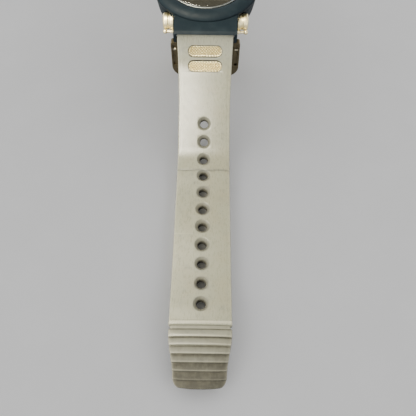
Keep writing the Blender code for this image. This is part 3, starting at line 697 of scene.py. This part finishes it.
def coil_shape():
    """A coil of round wire about Z, resting on the case at its low end."""
    sections = []
    steps = 28 * SPRING_TURNS
    for step in range(steps + 1):
        angle = tau * SPRING_TURNS * step / steps
        outward = Vector((cos(angle), sin(angle), 0))
        height = SPRING_START + SPRING_WIRE + SPRING_RISE * step / steps
        centre = outward * SPRING_RADIUS + Vector((0, 0, height))
        rim = [on_circle(SPRING_WIRE, 36 * corner) for corner in range(10)]
        sections.append([tuple(centre + outward * x + Vector((0, 0, z))) for x, z in rim])
    return lofted(sections)


def make_pushers(materials):
    cap = rounded([
        (0, 8.2), (0.9, 8.2), (0.9, 16.1), (2.3, 16.1), (2.3, 15.05), (3.2, 15.05), (3.2, 16.0), (3.4, 16.2),
        (3.4, 17.6), (3.05, 18.15), (2.3, 18.3), (0, 18.3)], 0.2)
    collar = rounded([
        (2.2, 13.7), (3.45, 13.7), (3.6, 13.85), (3.6, 15.0), (3.45, 15.2), (3.32, 15.2), (3.32, 14.25),
        (2.2, 14.25)], 0.12, True)
    ball = [(0.95 * cos(radians(a)), 17.4 + 0.95 * sin(radians(a))) for a in range(-32, 87, 9)]
    dome = [(0, 14.0), (1.0, 14.0), (0.5, 14.7), (0.5, 16.5)] + ball + [(0, 18.35)]
    for along, height in ((-1, "lower"), (1, "upper")):
        for across, side in ((-1, "left"), (1, "right")):
            place = button_place(across, along)
            in_case(f"pusher_{height}_{side}", f"button_{height}_{side}",
                    materials["champagne"], moved(turned(cap, 72), place), [f"button_{height}_{side}"])
            y, z = on_circle(STUD_REACH, STUD_ANGLE)
            spot = Matrix.Translation((0, along * (BUTTON_OUT - y), BUTTON_HEIGHT + z)) @ along_x(across)
            in_case(f"pusher_guard_{height}_{side}", "case", materials["champagne"],
                    moved(turned(collar, 72), place), [f"collar_{height}_{side}"],
                    adds=[moved(turned(dome, 32), spot)])
            coil = in_case(f"pusher_spring_{height}_{side}", "case", materials["spring"],
                           moved(coil_shape(), place), [f"button_spring_{height}_{side}"])
            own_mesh(coil)


# Straps

def case_point(out, height, side):
    """A point of the case's side view in the part's frame, as (y, z)."""
    tilt = radians(CASE_TILT)
    y = side * out * cos(tilt) - height * sin(tilt)
    z = side * out * sin(tilt) + height * cos(tilt)
    return CASE_CENTRE[1] + y, CASE_CENTRE[2] + z


def long_start():
    return case_point(ROOT_OUT, ROOT_HEIGHT, -1), 180 + ROOT_STEEPNESS + CASE_TILT


def short_start():
    return case_point(ROOT_OUT, ROOT_HEIGHT, 1), CASE_TILT - ROOT_STEEPNESS


def short_runs():
    (_, height), heading = short_start()
    radius = height / (1 + cos(radians(heading)))
    first = 180 + heading
    return (radius * radians(first), -first), (SHORT_FLAT, 0.0), (END_RADIUS * radians(END_TURN), -END_TURN)


def path_at(start, runs, length):
    """Where a path of arcs is after a length, and which way it heads there."""
    (y, z), heading = start
    left = length
    for index, (run, turn) in enumerate(runs):
        part = left if index == len(runs) - 1 else min(left, run)
        angle = radians(turn) * part / run
        chord = part if not angle else 2 * run / radians(turn) * sin(angle / 2)
        y += chord * cos(radians(heading) + angle / 2)
        z += chord * sin(radians(heading) + angle / 2)
        heading += angle / pi * 180
        left -= part
        if left <= 0:
            break
    return y, z, heading


def strap_place(start, runs, length, inward):
    """A frame on the strap's outer surface: X across, Y along it and Z out of it."""
    y, z, heading = path_at(start, runs, length)
    along = Vector((0, cos(radians(heading)), sin(radians(heading))))
    out = Vector((0, sin(radians(heading)), -cos(radians(heading)))) * inward
    across = along.cross(out)
    place = Matrix((across, along, out)).transposed().to_4x4()
    place.translation = (0, y, z)
    return place


def ease(value, start, span):
    return min(max((value - start) / span, 0.0), 1.0)


def smooth(value, start, span):
    t = ease(value, start, span)
    return t * t * (3 - 2 * t)


def root_thickness(length):
    return ROOT_THICKNESS - (ROOT_THICKNESS - STRAP_THICKNESS) * ease(length, 5.0, THINNING_LENGTH)


def root_width(length):
    return ROOT_WIDTH - (ROOT_WIDTH - STRAP_WIDTH) * ease(length, 0.0, TAPER_LENGTH)


def long_width(length):
    """Slightly notched at the groove behind the lip, narrower over the ribs and round at the end."""
    span = LONG_LENGTH - RIB_START - 5.0
    width = root_width(length) - (STRAP_WIDTH - TIP_WIDTH) * smooth(length, RIB_START + 1.0, span)
    notch = smooth(length, LIP_AT + 1.2, 0.3) * (1 - smooth(length, RIB_START - 0.3, 0.4))
    width -= 1.1 * notch
    past = ease(length, LONG_LENGTH - TIP_ROUNDING, TIP_ROUNDING)
    return width - 2 * TIP_ROUNDING * (1 - (1 - past ** 2.4) ** (1 / 2.4))


def long_thickness(length):
    return root_thickness(length) - (STRAP_THICKNESS - TIP_THICKNESS) * ease(length, RIB_START, 18.0)


def long_drop(length):
    """How far the outer side is below the strap's plain surface: lip, groove and saw-tooth ribs."""
    if length < RIB_START - 0.15:
        lip = smooth(length, LIP_AT - 0.5, 0.45) * (1 - smooth(length, LIP_AT + 0.9, 0.4))
        groove = smooth(length, LIP_AT + 1.15, 0.3)
        return 0.7 * groove - 0.35 * lip + strap_waves(length)
    phase = (length - RIB_START) / RIB_PITCH
    rib = min(int(max(phase, 0.0)), RIB_COUNT - 1)
    t = phase - rib
    crest = ease(t, 0.86, 0.14)
    drop = RIB_DEPTH * (1 - smooth(t, -0.25, 1.08)) + 0.4 * crest ** 3
    end = ease(length, LONG_LENGTH - 1.0, 1.0)
    return drop + 0.9 * (1 - sqrt(max(1 - end * end, 0.0)))


def strap_waves(length):
    """The slow waves that the flat stretch has taken on, and the dip where it has creased."""
    fade = smooth(length, 60.0, 10.0) * (1 - smooth(length, 113.0, 8.0))
    waves = WAVE_HEIGHT * sin(tau * (length - WAVE_AT) / WAVE_LENGTH)
    return waves * fade + CREASE_DEPTH * max(1 - abs(length - CREASE_AT) / 0.9, 0.0) ** 2


def tip_crown(length):
    """How far the long edges fall away over the ribs."""
    return 0.75 * smooth(length, RIB_START - 0.6, 4.0)


def strap_section(place, width, thickness, drop, crown=0.0, inset=0.0):
    """A cross-section with soft corners and a faint step along each edge."""
    half = width / 2 - inset
    top = TOP_CORNER
    inner = half - MARGIN
    margin = [half - top, half - top - 0.15, inner + 0.22, inner + 0.08, inner - 0.08, inner - 0.22]
    line = [-x for x in margin] + [-inner + 0.22 + (2 * inner - 0.44) * step / 12 for step in range(1, 12)]
    line += reversed(margin)

    def height(x):
        edge = MARGIN_DROP if abs(x) > inner else 0.0
        return -drop - inset - edge - STRAP_CROWN * (x / half) ** 2 - crown * (x / half) ** 4

    section = [(x, height(x)) for x in line]
    edge = height(half - top)
    low = -thickness + inset + UNDERSIDE_LIFT
    base = min(UNDER_CORNER, (edge - low) * 0.4)
    section += [(half - top + top * sin(a), edge - top + top * cos(a)) for a in (0.5, 1.05, pi / 2)]
    section += [(half - base + base * cos(a), low + base - base * sin(a)) for a in (0.0, 0.5, 1.05, pi / 2)]
    section += [(half * (1 - 2 * step / 6) * 0.9, low) for step in range(1, 6)]
    section += [(-half + base - base * sin(a), low + base - base * cos(a)) for a in (0.0, 0.5, 1.05, pi / 2)]
    section += [(-half + top - top * cos(a), edge - top + top * sin(a)) for a in (0.0, 0.52, 1.07)]
    return [place @ Vector((x, 0, z)) for x, z in section]


def end_inset(distance):
    """How much a section near a strap's end shrinks so that the end's edges are round."""
    if distance >= END_ROUNDING:
        return 0.0
    return END_ROUNDING - sqrt(max(END_ROUNDING ** 2 - (END_ROUNDING - distance) ** 2, 0.0))


def hole_cutter():
    profile = [(0, 1.2), (HOLE_RIM_RADIUS + 0.24, 1.2), (HOLE_RIM_RADIUS + 0.24, 0.0)]
    profile += [(HOLE_RIM_RADIUS + 0.06, -0.05), (HOLE_RIM_RADIUS - 0.04, -0.16)]
    profile += [(HOLE_RADIUS + 0.35, -COUNTERSINK_DEPTH + 0.08), (HOLE_RADIUS + 0.1, -COUNTERSINK_DEPTH)]
    profile += [(HOLE_RADIUS, -COUNTERSINK_DEPTH - 0.14), (HOLE_RADIUS, -6.0), (0, -6.0)]
    return turned(profile, 48)


def slot_cutter():
    sections = []
    wall = ((0, -SLOT_DEPTH), (0, -0.3), (0.04, -0.14), (0.12, -0.04), (0.24, 0.02), (0.24, 1.2))
    for grow, height in wall:
        size = (SLOT_LENGTH + 2 * grow, SLOT_WIDTH + 2 * grow)
        outline = rectangle(*size, size[1] / 2 - 0.01, 12)
        sections.append([(x, y, height) for x, y in outline])
    return lofted(sections)


def strap_cutters(start, runs, inward, side):
    """The bore for the strap bar and the two slots."""
    bar = Matrix.Translation((0, *case_point(BAR_OUT, BAR_HEIGHT, side))) @ along_x(1)
    slots = [moved(slot_cutter(), strap_place(start, runs, centre, inward)) for centre in SLOT_CENTRES]
    return [moved(cylinder(1.25, -15, 15, 32), bar), joined(*slots)]


def root_barrel(side):
    centre = Matrix.Translation((0, *case_point(BAR_OUT, BAR_HEIGHT, side))) @ along_x(1)
    half = ROOT_WIDTH / 2 - 0.1
    profile = [(0, -half), (2.3, -half), (2.6, -half + 0.3), (2.6, half - 0.3), (2.3, half), (0, half)]
    return moved(turned(profile, 64), centre)


def nearest_on_path(place, start, runs):
    """Each point's nearest length along the strap's outer side, and its distance from there."""
    lengths = np.arange(0.0, sum(run for run, _ in runs), 0.25)
    path = np.array([path_at(start, runs, length)[:2] for length in lengths])
    nearest = np.zeros(len(place))
    depth = np.zeros(len(place))
    for begin in range(0, len(place), 4000):
        part = place[begin:begin + 4000, 1:]
        distance = ((part[:, None, :] - path[None]) ** 2).sum(2)
        nearest[begin:begin + 4000] = lengths[distance.argmin(1)]
        depth[begin:begin + 4000] = np.sqrt(distance.min(1))
    return nearest, depth


def long_marks(across, nearest):
    """Dirt and painted shade in the holes, rib valleys and groove, darker towards the tip; wear on the lip
    and a scratch; painted highlights on the rib crests; and a painted shade line along the crease.
    """
    holes = np.clip((nearest - FIRST_HOLE) / HOLE_PITCH, 0, HOLE_COUNT - 1)
    along = nearest - (FIRST_HOLE + np.round(holes) * HOLE_PITCH)
    radius = np.sqrt(along ** 2 + across ** 2)
    # Painted shade and dirt down each hole, fading out past the countersink rim.
    dirt_and_shade = np.interp(radius, (HOLE_RADIUS, HOLE_RIM_RADIUS, HOLE_RIM_RADIUS + 0.3), (0.95, 0.5, 0.0))
    ribs = (nearest - RIB_START) / RIB_PITCH % 1.0
    over_ribs = np.clip((nearest - RIB_START + 0.5) / 0.5, 0, 1)
    low = 0.2 * (1 - ribs) + np.exp(-ribs / 0.13)
    # Painted shade and dirt over the ribs: deepest in each valley, and darker towards the tip.
    dirt_and_shade += over_ribs * (0.1 + np.clip((nearest - RIB_START) / 17.0, 0, 1) + low)
    # Painted shade and dirt in the groove behind the lip.
    dirt_and_shade += np.where((nearest > LIP_AT + 1.1) & (nearest < RIB_START), 0.5, 0.0)
    # Painted highlight: paler rib crests, fading out towards the tip.
    wear_and_highlight = over_ribs * np.exp(-((ribs - 0.84) / 0.07) ** 2) * 0.6 * np.clip((146 - nearest) / 18, 0, 1)
    wear_and_highlight += np.exp(-((nearest - LIP_AT - 0.3) / 0.55) ** 2)
    wear_and_highlight += 0.6 * np.exp(-((nearest - SCRATCH_AT) / 0.15) ** 2) * (across < -HOLE_RIM_RADIUS - 1.0)
    wobble = 0.18 * np.sin(across * 0.7) + 0.1 * np.sin(across * 2.3 + 1.0)
    # Painted shade: a dark line along the crease, wobbling a little across the strap.
    crease_shade = np.exp(-((nearest - CREASE_AT - wobble) / 0.35) ** 2)
    return dirt_and_shade, wear_and_highlight, crease_shade


def mark_surface(item, start, runs, is_long):
    """Stores where dirt and painted shade darken the strap, where wear and painted highlights make it paler,
    and the painted shade line of the crease.
    """
    mesh = item.data
    place = np.zeros(len(mesh.vertices) * 3)
    mesh.vertices.foreach_get("co", place)
    place = place.reshape(-1, 3) / MM
    nearest, depth = nearest_on_path(place, start, runs)
    if is_long:
        dirt_and_shade, wear_and_highlight, crease_shade = long_marks(place[:, 0], nearest)
    else:
        dirt_and_shade, wear_and_highlight, crease_shade = np.zeros((3, len(place)))
    x = np.abs(place[:, 0])
    for centre in SLOT_CENTRES:
        inside = (np.abs(nearest - centre) < SLOT_WIDTH / 2 + 0.2) & (x < SLOT_LENGTH / 2 + 0.2)
        # Painted shade and dirt on the slot walls.
        dirt_and_shade[inside & (depth > 0.2) & (depth < 2.0)] = 1.0
    edge = np.array([(root_width(length) if length < 100 else long_width(length)) / 2 for length in nearest])
    # Wear and painted highlight: paler along both long edges.
    wear_and_highlight += np.exp(-np.abs(edge - x) / 0.3) * 0.6
    for name, values in (("dirt_and_shade", dirt_and_shade), ("wear_and_highlight", wear_and_highlight), ("crease_shade", crease_shade)):
        attribute = mesh.attributes.new(name, "FLOAT", "POINT")
        attribute.data.foreach_set("value", np.clip(values, 0, 1).astype(np.float32))


def make_strap_long(materials):
    start = long_start()
    lengths = [0.0, 0.04, 0.1, 0.2, 0.3]
    fine = [around + gap for around in (CREASE_AT, SCRATCH_AT) for gap in FINE_STEPS]
    lengths += sorted([length for length in np.arange(0.9, 121.0, 0.6)
                       if min(abs(length - CREASE_AT), abs(length - SCRATCH_AT)) > 0.55] + fine)
    lengths += list(np.arange(121.0, LONG_LENGTH - 0.3, 0.1))
    lengths += [LONG_LENGTH - gap for gap in (0.3, 0.2, 0.1, 0.04, 0.0)]
    sections = []
    for length in lengths:
        place = strap_place(start, LONG_RUNS, float(length), 1)
        inset = end_inset(length) + end_inset(LONG_LENGTH - length)
        sections.append(strap_section(place, long_width(length), long_thickness(length), long_drop(length),
                                      tip_crown(length), inset))
    holes = [moved(hole_cutter(), strap_place(start, LONG_RUNS, FIRST_HOLE + index * HOLE_PITCH, 1))
             for index in range(HOLE_COUNT)]
    cuts = strap_cutters(start, LONG_RUNS, 1, -1) + [joined(*holes)]
    strap = piece("strap_long_rubber", "long_strap", materials["urethane"], lofted(sections),
                  ["strap_long"], [root_barrel(-1)], cuts, sharp=40, split=True)
    mark_surface(strap, start, LONG_RUNS, True)


def short_pin():
    runs = short_runs()
    total = sum(run for run, _ in runs)
    return strap_place(short_start(), runs, total, -1) @ Matrix.Translation((0, 0, -PIN_DEPTH))


def make_strap_short(materials):
    start = short_start()
    runs = short_runs()
    total = sum(run for run, _ in runs)
    sections = []
    for length in [0.0, 0.04, 0.1, 0.2, 0.3] + list(np.arange(0.9, total, 0.6)) + [total]:
        place = strap_place(start, runs, float(length), -1)
        sections.append(strap_section(place, root_width(length), root_thickness(length), 0.0, 0.0,
                                      end_inset(length)))
    pin = short_pin() @ along_x(1)
    half = STRAP_WIDTH / 2 - 0.1
    profile = [(0, -half), (2.0, -half), (2.3, -half + 0.3), (2.3, half - 0.3), (2.0, half), (0, half)]
    end = turned(profile, 48)
    _, y, z = short_pin().translation
    cuts = strap_cutters(start, runs, -1, 1)
    cuts += [moved(cylinder(1.05, -15, 15, 24), pin), box(3.8, 9.0, 10.5, (0, y, z - 0.9))]
    strap = piece("strap_short_rubber", "short_strap", materials["urethane"],
                  lofted(sections), ["strap_short"], [root_barrel(1), moved(end, pin)], cuts, sharp=40,
                  split=True)
    mark_surface(strap, start, runs, False)


def knurled_plate():
    """A plate with round ends whose face is cut into small pyramids by two sets of V grooves."""
    length = SLOT_LENGTH - PLATE_GAP
    radius = (SLOT_WIDTH - PLATE_GAP) / 2
    columns = PLATE_COLUMNS
    rows = PLATE_ROWS
    straight = length / 2 - radius

    def face(x, y, rim):
        first = 1 - abs(2 * ((x + y) / KNURL_PITCH % 1.0) - 1)
        second = 1 - abs(2 * ((x - y) / KNURL_PITCH % 1.0) - 1)
        pyramid = min(min(first, second), 0.8) / 0.8
        edge = min(rim / 0.35, 1.0)
        return PLATE_TOP - KNURL_DEPTH * (1 - pyramid) * edge - 0.12 * (1 - edge)

    points = []
    for column in range(columns + 1):
        x = -cos(pi * column / columns) * (length / 2 - 0.02)
        past = max(abs(x) - straight, 0.0)
        half = sqrt(max(radius ** 2 - past ** 2, 0.0))
        for row in range(rows + 1):
            y = -half + 2 * half * row / rows
            rim = radius - sqrt(past ** 2 + y ** 2) if past else radius - abs(y)
            points.append((x, y, face(x, y, rim)))
    faces = []
    across = rows + 1
    for column in range(columns):
        for row in range(rows):
            first = column * across + row
            faces.append((first, first + across, first + across + 1, first + 1))
    border = [column * across for column in range(columns + 1)]
    border += [columns * across + row for row in range(1, rows + 1)]
    border += [column * across + rows for column in range(columns - 1, -1, -1)]
    border += [row for row in range(rows - 1, 0, -1)]
    low = len(points)
    points += [(points[index][0], points[index][1], PLATE_BOTTOM) for index in border]
    for index, corner in enumerate(border):
        after = (index + 1) % len(border)
        faces.append((corner, border[after], low + after, low + index))
    faces.append(tuple(range(low, low + len(border))))
    return points, faces


def make_inserts(materials):
    plate = knurled_plate()
    halves = (("long", "long_strap", long_start(), LONG_RUNS, 1),
              ("short", "short_strap", short_start(), short_runs(), -1))
    for label, body, start, runs, inward in halves:
        for index, centre in enumerate(SLOT_CENTRES, start=1):
            place = strap_place(start, runs, centre, inward)
            item = piece(f"knurled_plate_{label}_{index}", body, materials["knurl"],
                         moved(plate, place), [f"insert_{label}_{index}"], sharp=25)
            # Groove depth, stored as dirt and painted shade for the knurl's finish.
            depth = np.array([PLATE_TOP - point[2] for point in plate[0]]) / KNURL_DEPTH
            dirt_and_shade = item.data.attributes.new("dirt_and_shade", "FLOAT", "POINT")
            dirt_and_shade.data.foreach_set("value", np.clip(depth, 0, 1).astype(np.float32))


def make_keepers(materials):
    """Soft loops with round edges and a shallow groove round the middle."""
    start = short_start()
    runs = short_runs()
    down = runs[0][0]
    radius = down / radians(-runs[0][1])
    spots = (("fixed", "short_strap", down + SHORT_FLAT + END_RADIUS * radians(30.0)),
             ("free", "free_keeper", down - radius * radians(45.0)))
    width = STRAP_WIDTH + 0.8
    height = STRAP_THICKNESS + 0.8
    profile = rounded([(0.0, -2.75), (1.2, -2.75), (1.2, -0.7), (1.05, -0.45), (1.05, 0.45), (1.2, 0.7),
                       (1.2, 2.75), (0.0, 2.75)], 0.3, True, 3)
    for name, body, length in spots:
        sections = []
        for grow, along in profile:
            outline = rectangle(width + 2 * grow, height + 2 * grow, 0.4 + grow * 0.7)
            sections.append([(x, along, y - STRAP_THICKNESS / 2) for x, y in outline])
        place = strap_place(start, runs, length, -1)
        loop = piece(f"keeper_loop_{name}", body, materials["urethane"],
                     moved(lofted(sections, ring=True), place), [f"keeper_{name}"], sharp=50)
        # Blank maps for the finish's dirt and painted shade, wear and painted highlight, and painted crease
        # shade.
        for attribute in ("dirt_and_shade", "wear_and_highlight", "crease_shade"):
            loop.data.attributes.new(attribute, "FLOAT", "POINT")


# Buckle

def buckle_outline():
    """The frame from the front: two sides with ears above the pin, joined by a bar below."""
    inside = -11.6
    outline = [(-15.3, 3.6)] + arc((-9.8, -9.1), 5.5, 180, 270, 14) + arc((9.8, -9.1), 5.5, 270, 360, 14)
    outline += [(15.3, 3.6)] + arc((14.3, 3.6), 1.0, 30, 90, 4)
    outline += [(12.7, 4.6), (12.3, 4.2), (12.3, inside + 2.0)] + arc((10.3, inside + 2.0), 2.0, 0, -90, 6)
    outline += arc((-10.3, inside + 2.0), 2.0, 270, 180, 6) + [(-12.3, 4.2), (-12.7, 4.6)]
    return outline + arc((-14.3, 3.6), 1.0, 90, 150, 4)


def tongue_outline():
    shank = 1.7
    ring_side = arc((0, 0), 1.9, 240, -10, 36)
    tip = [(shank + 1.1, -2.6), (shank + 1.1, -15.0), (shank + 0.85, -15.5), (shank + 0.4, -15.5),
           (shank, -14.9), (shank, -3.0)]
    return ring_side + tip


def make_buckle(materials):
    _, y, z = short_pin().translation
    pin = Matrix.Translation((0, y, z))
    facing = Matrix(((1, 0, 0, 0), (0, 0, -1, 0), (0, 1, 0, 0), (0, 0, 0, 1)))
    bore = moved(cylinder(0.95, -20, 20, 28), pin @ along_x(1))
    channel = rectangle(1.5, 11.5, 0.7, 6)
    channels = [prism([(x + side * 13.85, y - 2.4) for x, y in channel], 0.4, 2.0) for side in (-1, 1)]
    piece("buckle_bow", "buckle", materials["bronze"],
          moved(prism(buckle_outline(), -1.4, 1.4), pin @ facing), ["buckle_frame"], [],
          [moved(joined(*channels), pin @ facing), bore], bevel=0.2)
    rod = rounded([(0, -14.9), (0.75, -14.9), (0.75, 14.9), (0, 14.9)], 0.25)
    piece("buckle_rod", "short_strap", materials["rod"], moved(turned(rod, 32), pin @ along_x(1)),
          ["buckle_pin"])
    side = moved(prism(tongue_outline(), -1.5, 1.5), pin @ side_plane(-1))
    hole = moved(cylinder(1.0, -5, 5, 28), pin @ along_x(1))
    piece("buckle_prong", "tongue", materials["bronze"], side, ["buckle_tongue"], [],
          [hole], bevel=0.3)


def finish_cad_nodes(materials):
    """The CAD nodes that stay get their own finish, and softened edges where they have corners."""
    finishes = {
        "battery": "steel", "battery_cover_gasket": "seal", "caseback_gasket": "seal",
        "circuit_board": "board",
        "crystal_gasket": "seal", "dial_mask": "mask", "lcd_panel": "display", "module_frame": "plastic",
        "piezo_buzzer": "steel", "pressure_sensor": "steel", "processor": "plastic", "quartz_can": "steel",
        "strap_bar_": "steel", "switch_": "plastic", "zebra_strip_": "seal",
    }
    for name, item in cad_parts.items():
        if item.hide_render:
            continue
        matches = [finish for start, finish in finishes.items() if name.startswith(start)]
        item.data.materials.clear()
        item.data.materials.append(materials[matches[-1]])
        weld = item.modifiers.new("weld", "WELD")
        weld.merge_threshold = 0.000001
        edges = item.modifiers.new("edges", "BEVEL")
        edges.width = 0.06 * MM
        edges.segments = 2
        edges.limit_method = "ANGLE"
        edges.angle_limit = radians(40)


# Stage

def area_light(name, place, target, size, power):
    light = bpy.data.lights.new(name, "AREA")
    light.shape = "RECTANGLE"
    light.size, light.size_y = size
    light.energy = power
    light.color = WARM_LIGHT
    item = bpy.data.objects.new(name, light)
    item.location = place
    item.rotation_mode = "QUATERNION"
    item.rotation_quaternion = (Vector(target) - Vector(place)).to_track_quat("-Z", "Y")
    bpy.context.scene.collection.objects.link(item)
    return item


def keep_off(light, item):
    """A light that doesn't fall on one object."""
    group = bpy.data.collections.new(f"{light.name}_kept_off")
    group.objects.link(item)
    group.collection_objects[0].light_linking.link_state = "EXCLUDE"
    light.light_linking.receiver_collection = group


def light_from_low(world):
    """A broad ring of soft light round the horizon, dim overhead, so that holes stay dark."""
    nodes = world.node_tree.nodes
    links = world.node_tree.links
    place = nodes.new("ShaderNodeTexCoord")
    axes = nodes.new("ShaderNodeSeparateXYZ")
    height = nodes.new("ShaderNodeMapRange")
    height.interpolation_type = "SMOOTHSTEP"
    height.inputs["From Min"].default_value = 0.45
    height.inputs["From Max"].default_value = 0.8
    height.inputs["To Min"].default_value = RING_LIGHT
    height.inputs["To Max"].default_value = ZENITH_LIGHT
    links.new(place.outputs["Generated"], axes.inputs["Vector"])
    links.new(axes.outputs["Z"], height.inputs["Value"])
    links.new(height.outputs["Result"], nodes["Background"].inputs["Strength"])
    nodes["Background"].inputs["Color"].default_value = (0.97, 0.98, 1.0, 1.0)


def make_stage(materials):
    half = FLOOR_HALF_SIZE
    outline = [(-half, -half), (half, -half), (half, half), (-half, half)]
    mesh = bpy.data.meshes.new("floor")
    mesh.from_pydata([(x, y, FLOOR_HEIGHT) for x, y in outline], [], [(0, 1, 2, 3)])
    mesh.materials.append(materials["floor"])
    floor = bpy.data.objects.new("floor", mesh)
    bpy.context.scene.collection.objects.link(floor)
    world = bpy.data.worlds.new("studio")
    world.use_nodes = True
    light_from_low(world)
    bpy.context.scene.world = world
    keep_off(area_light("overhead", (-0.115, -0.06, 0.30), (-0.085, -0.03, 0.0), (0.14, 0.20), 3.6), floor)
    keep_off(area_light("side", (-0.24, -0.27, 0.15), (0.0, 0.03, 0.03), (0.2, 0.14), 0.9), floor)


def make_camera():
    camera = bpy.data.cameras.new("camera")
    camera.lens = CAMERA_LENS
    camera.sensor_width = 36.0
    camera.clip_start = 0.005
    item = bpy.data.objects.new("camera", camera)
    turn = Matrix.Rotation(radians(CAMERA_PITCH), 4, "X") @ Matrix.Rotation(radians(CAMERA_ROLL), 4, "Z")
    item.matrix_world = Matrix.Translation(CAMERA_PLACE) @ turn
    bpy.context.scene.collection.objects.link(item)
    bpy.context.scene.camera = item


def main():
    materials = make_materials()
    make_case(materials)
    make_window(materials)
    make_display(materials)
    make_back(materials)
    make_battery_lid(materials)
    make_pushers(materials)
    make_strap_long(materials)
    make_strap_short(materials)
    make_inserts(materials)
    make_keepers(materials)
    make_buckle(materials)
    finish_cad_nodes(materials)
    make_stage(materials)
    make_camera()


main()
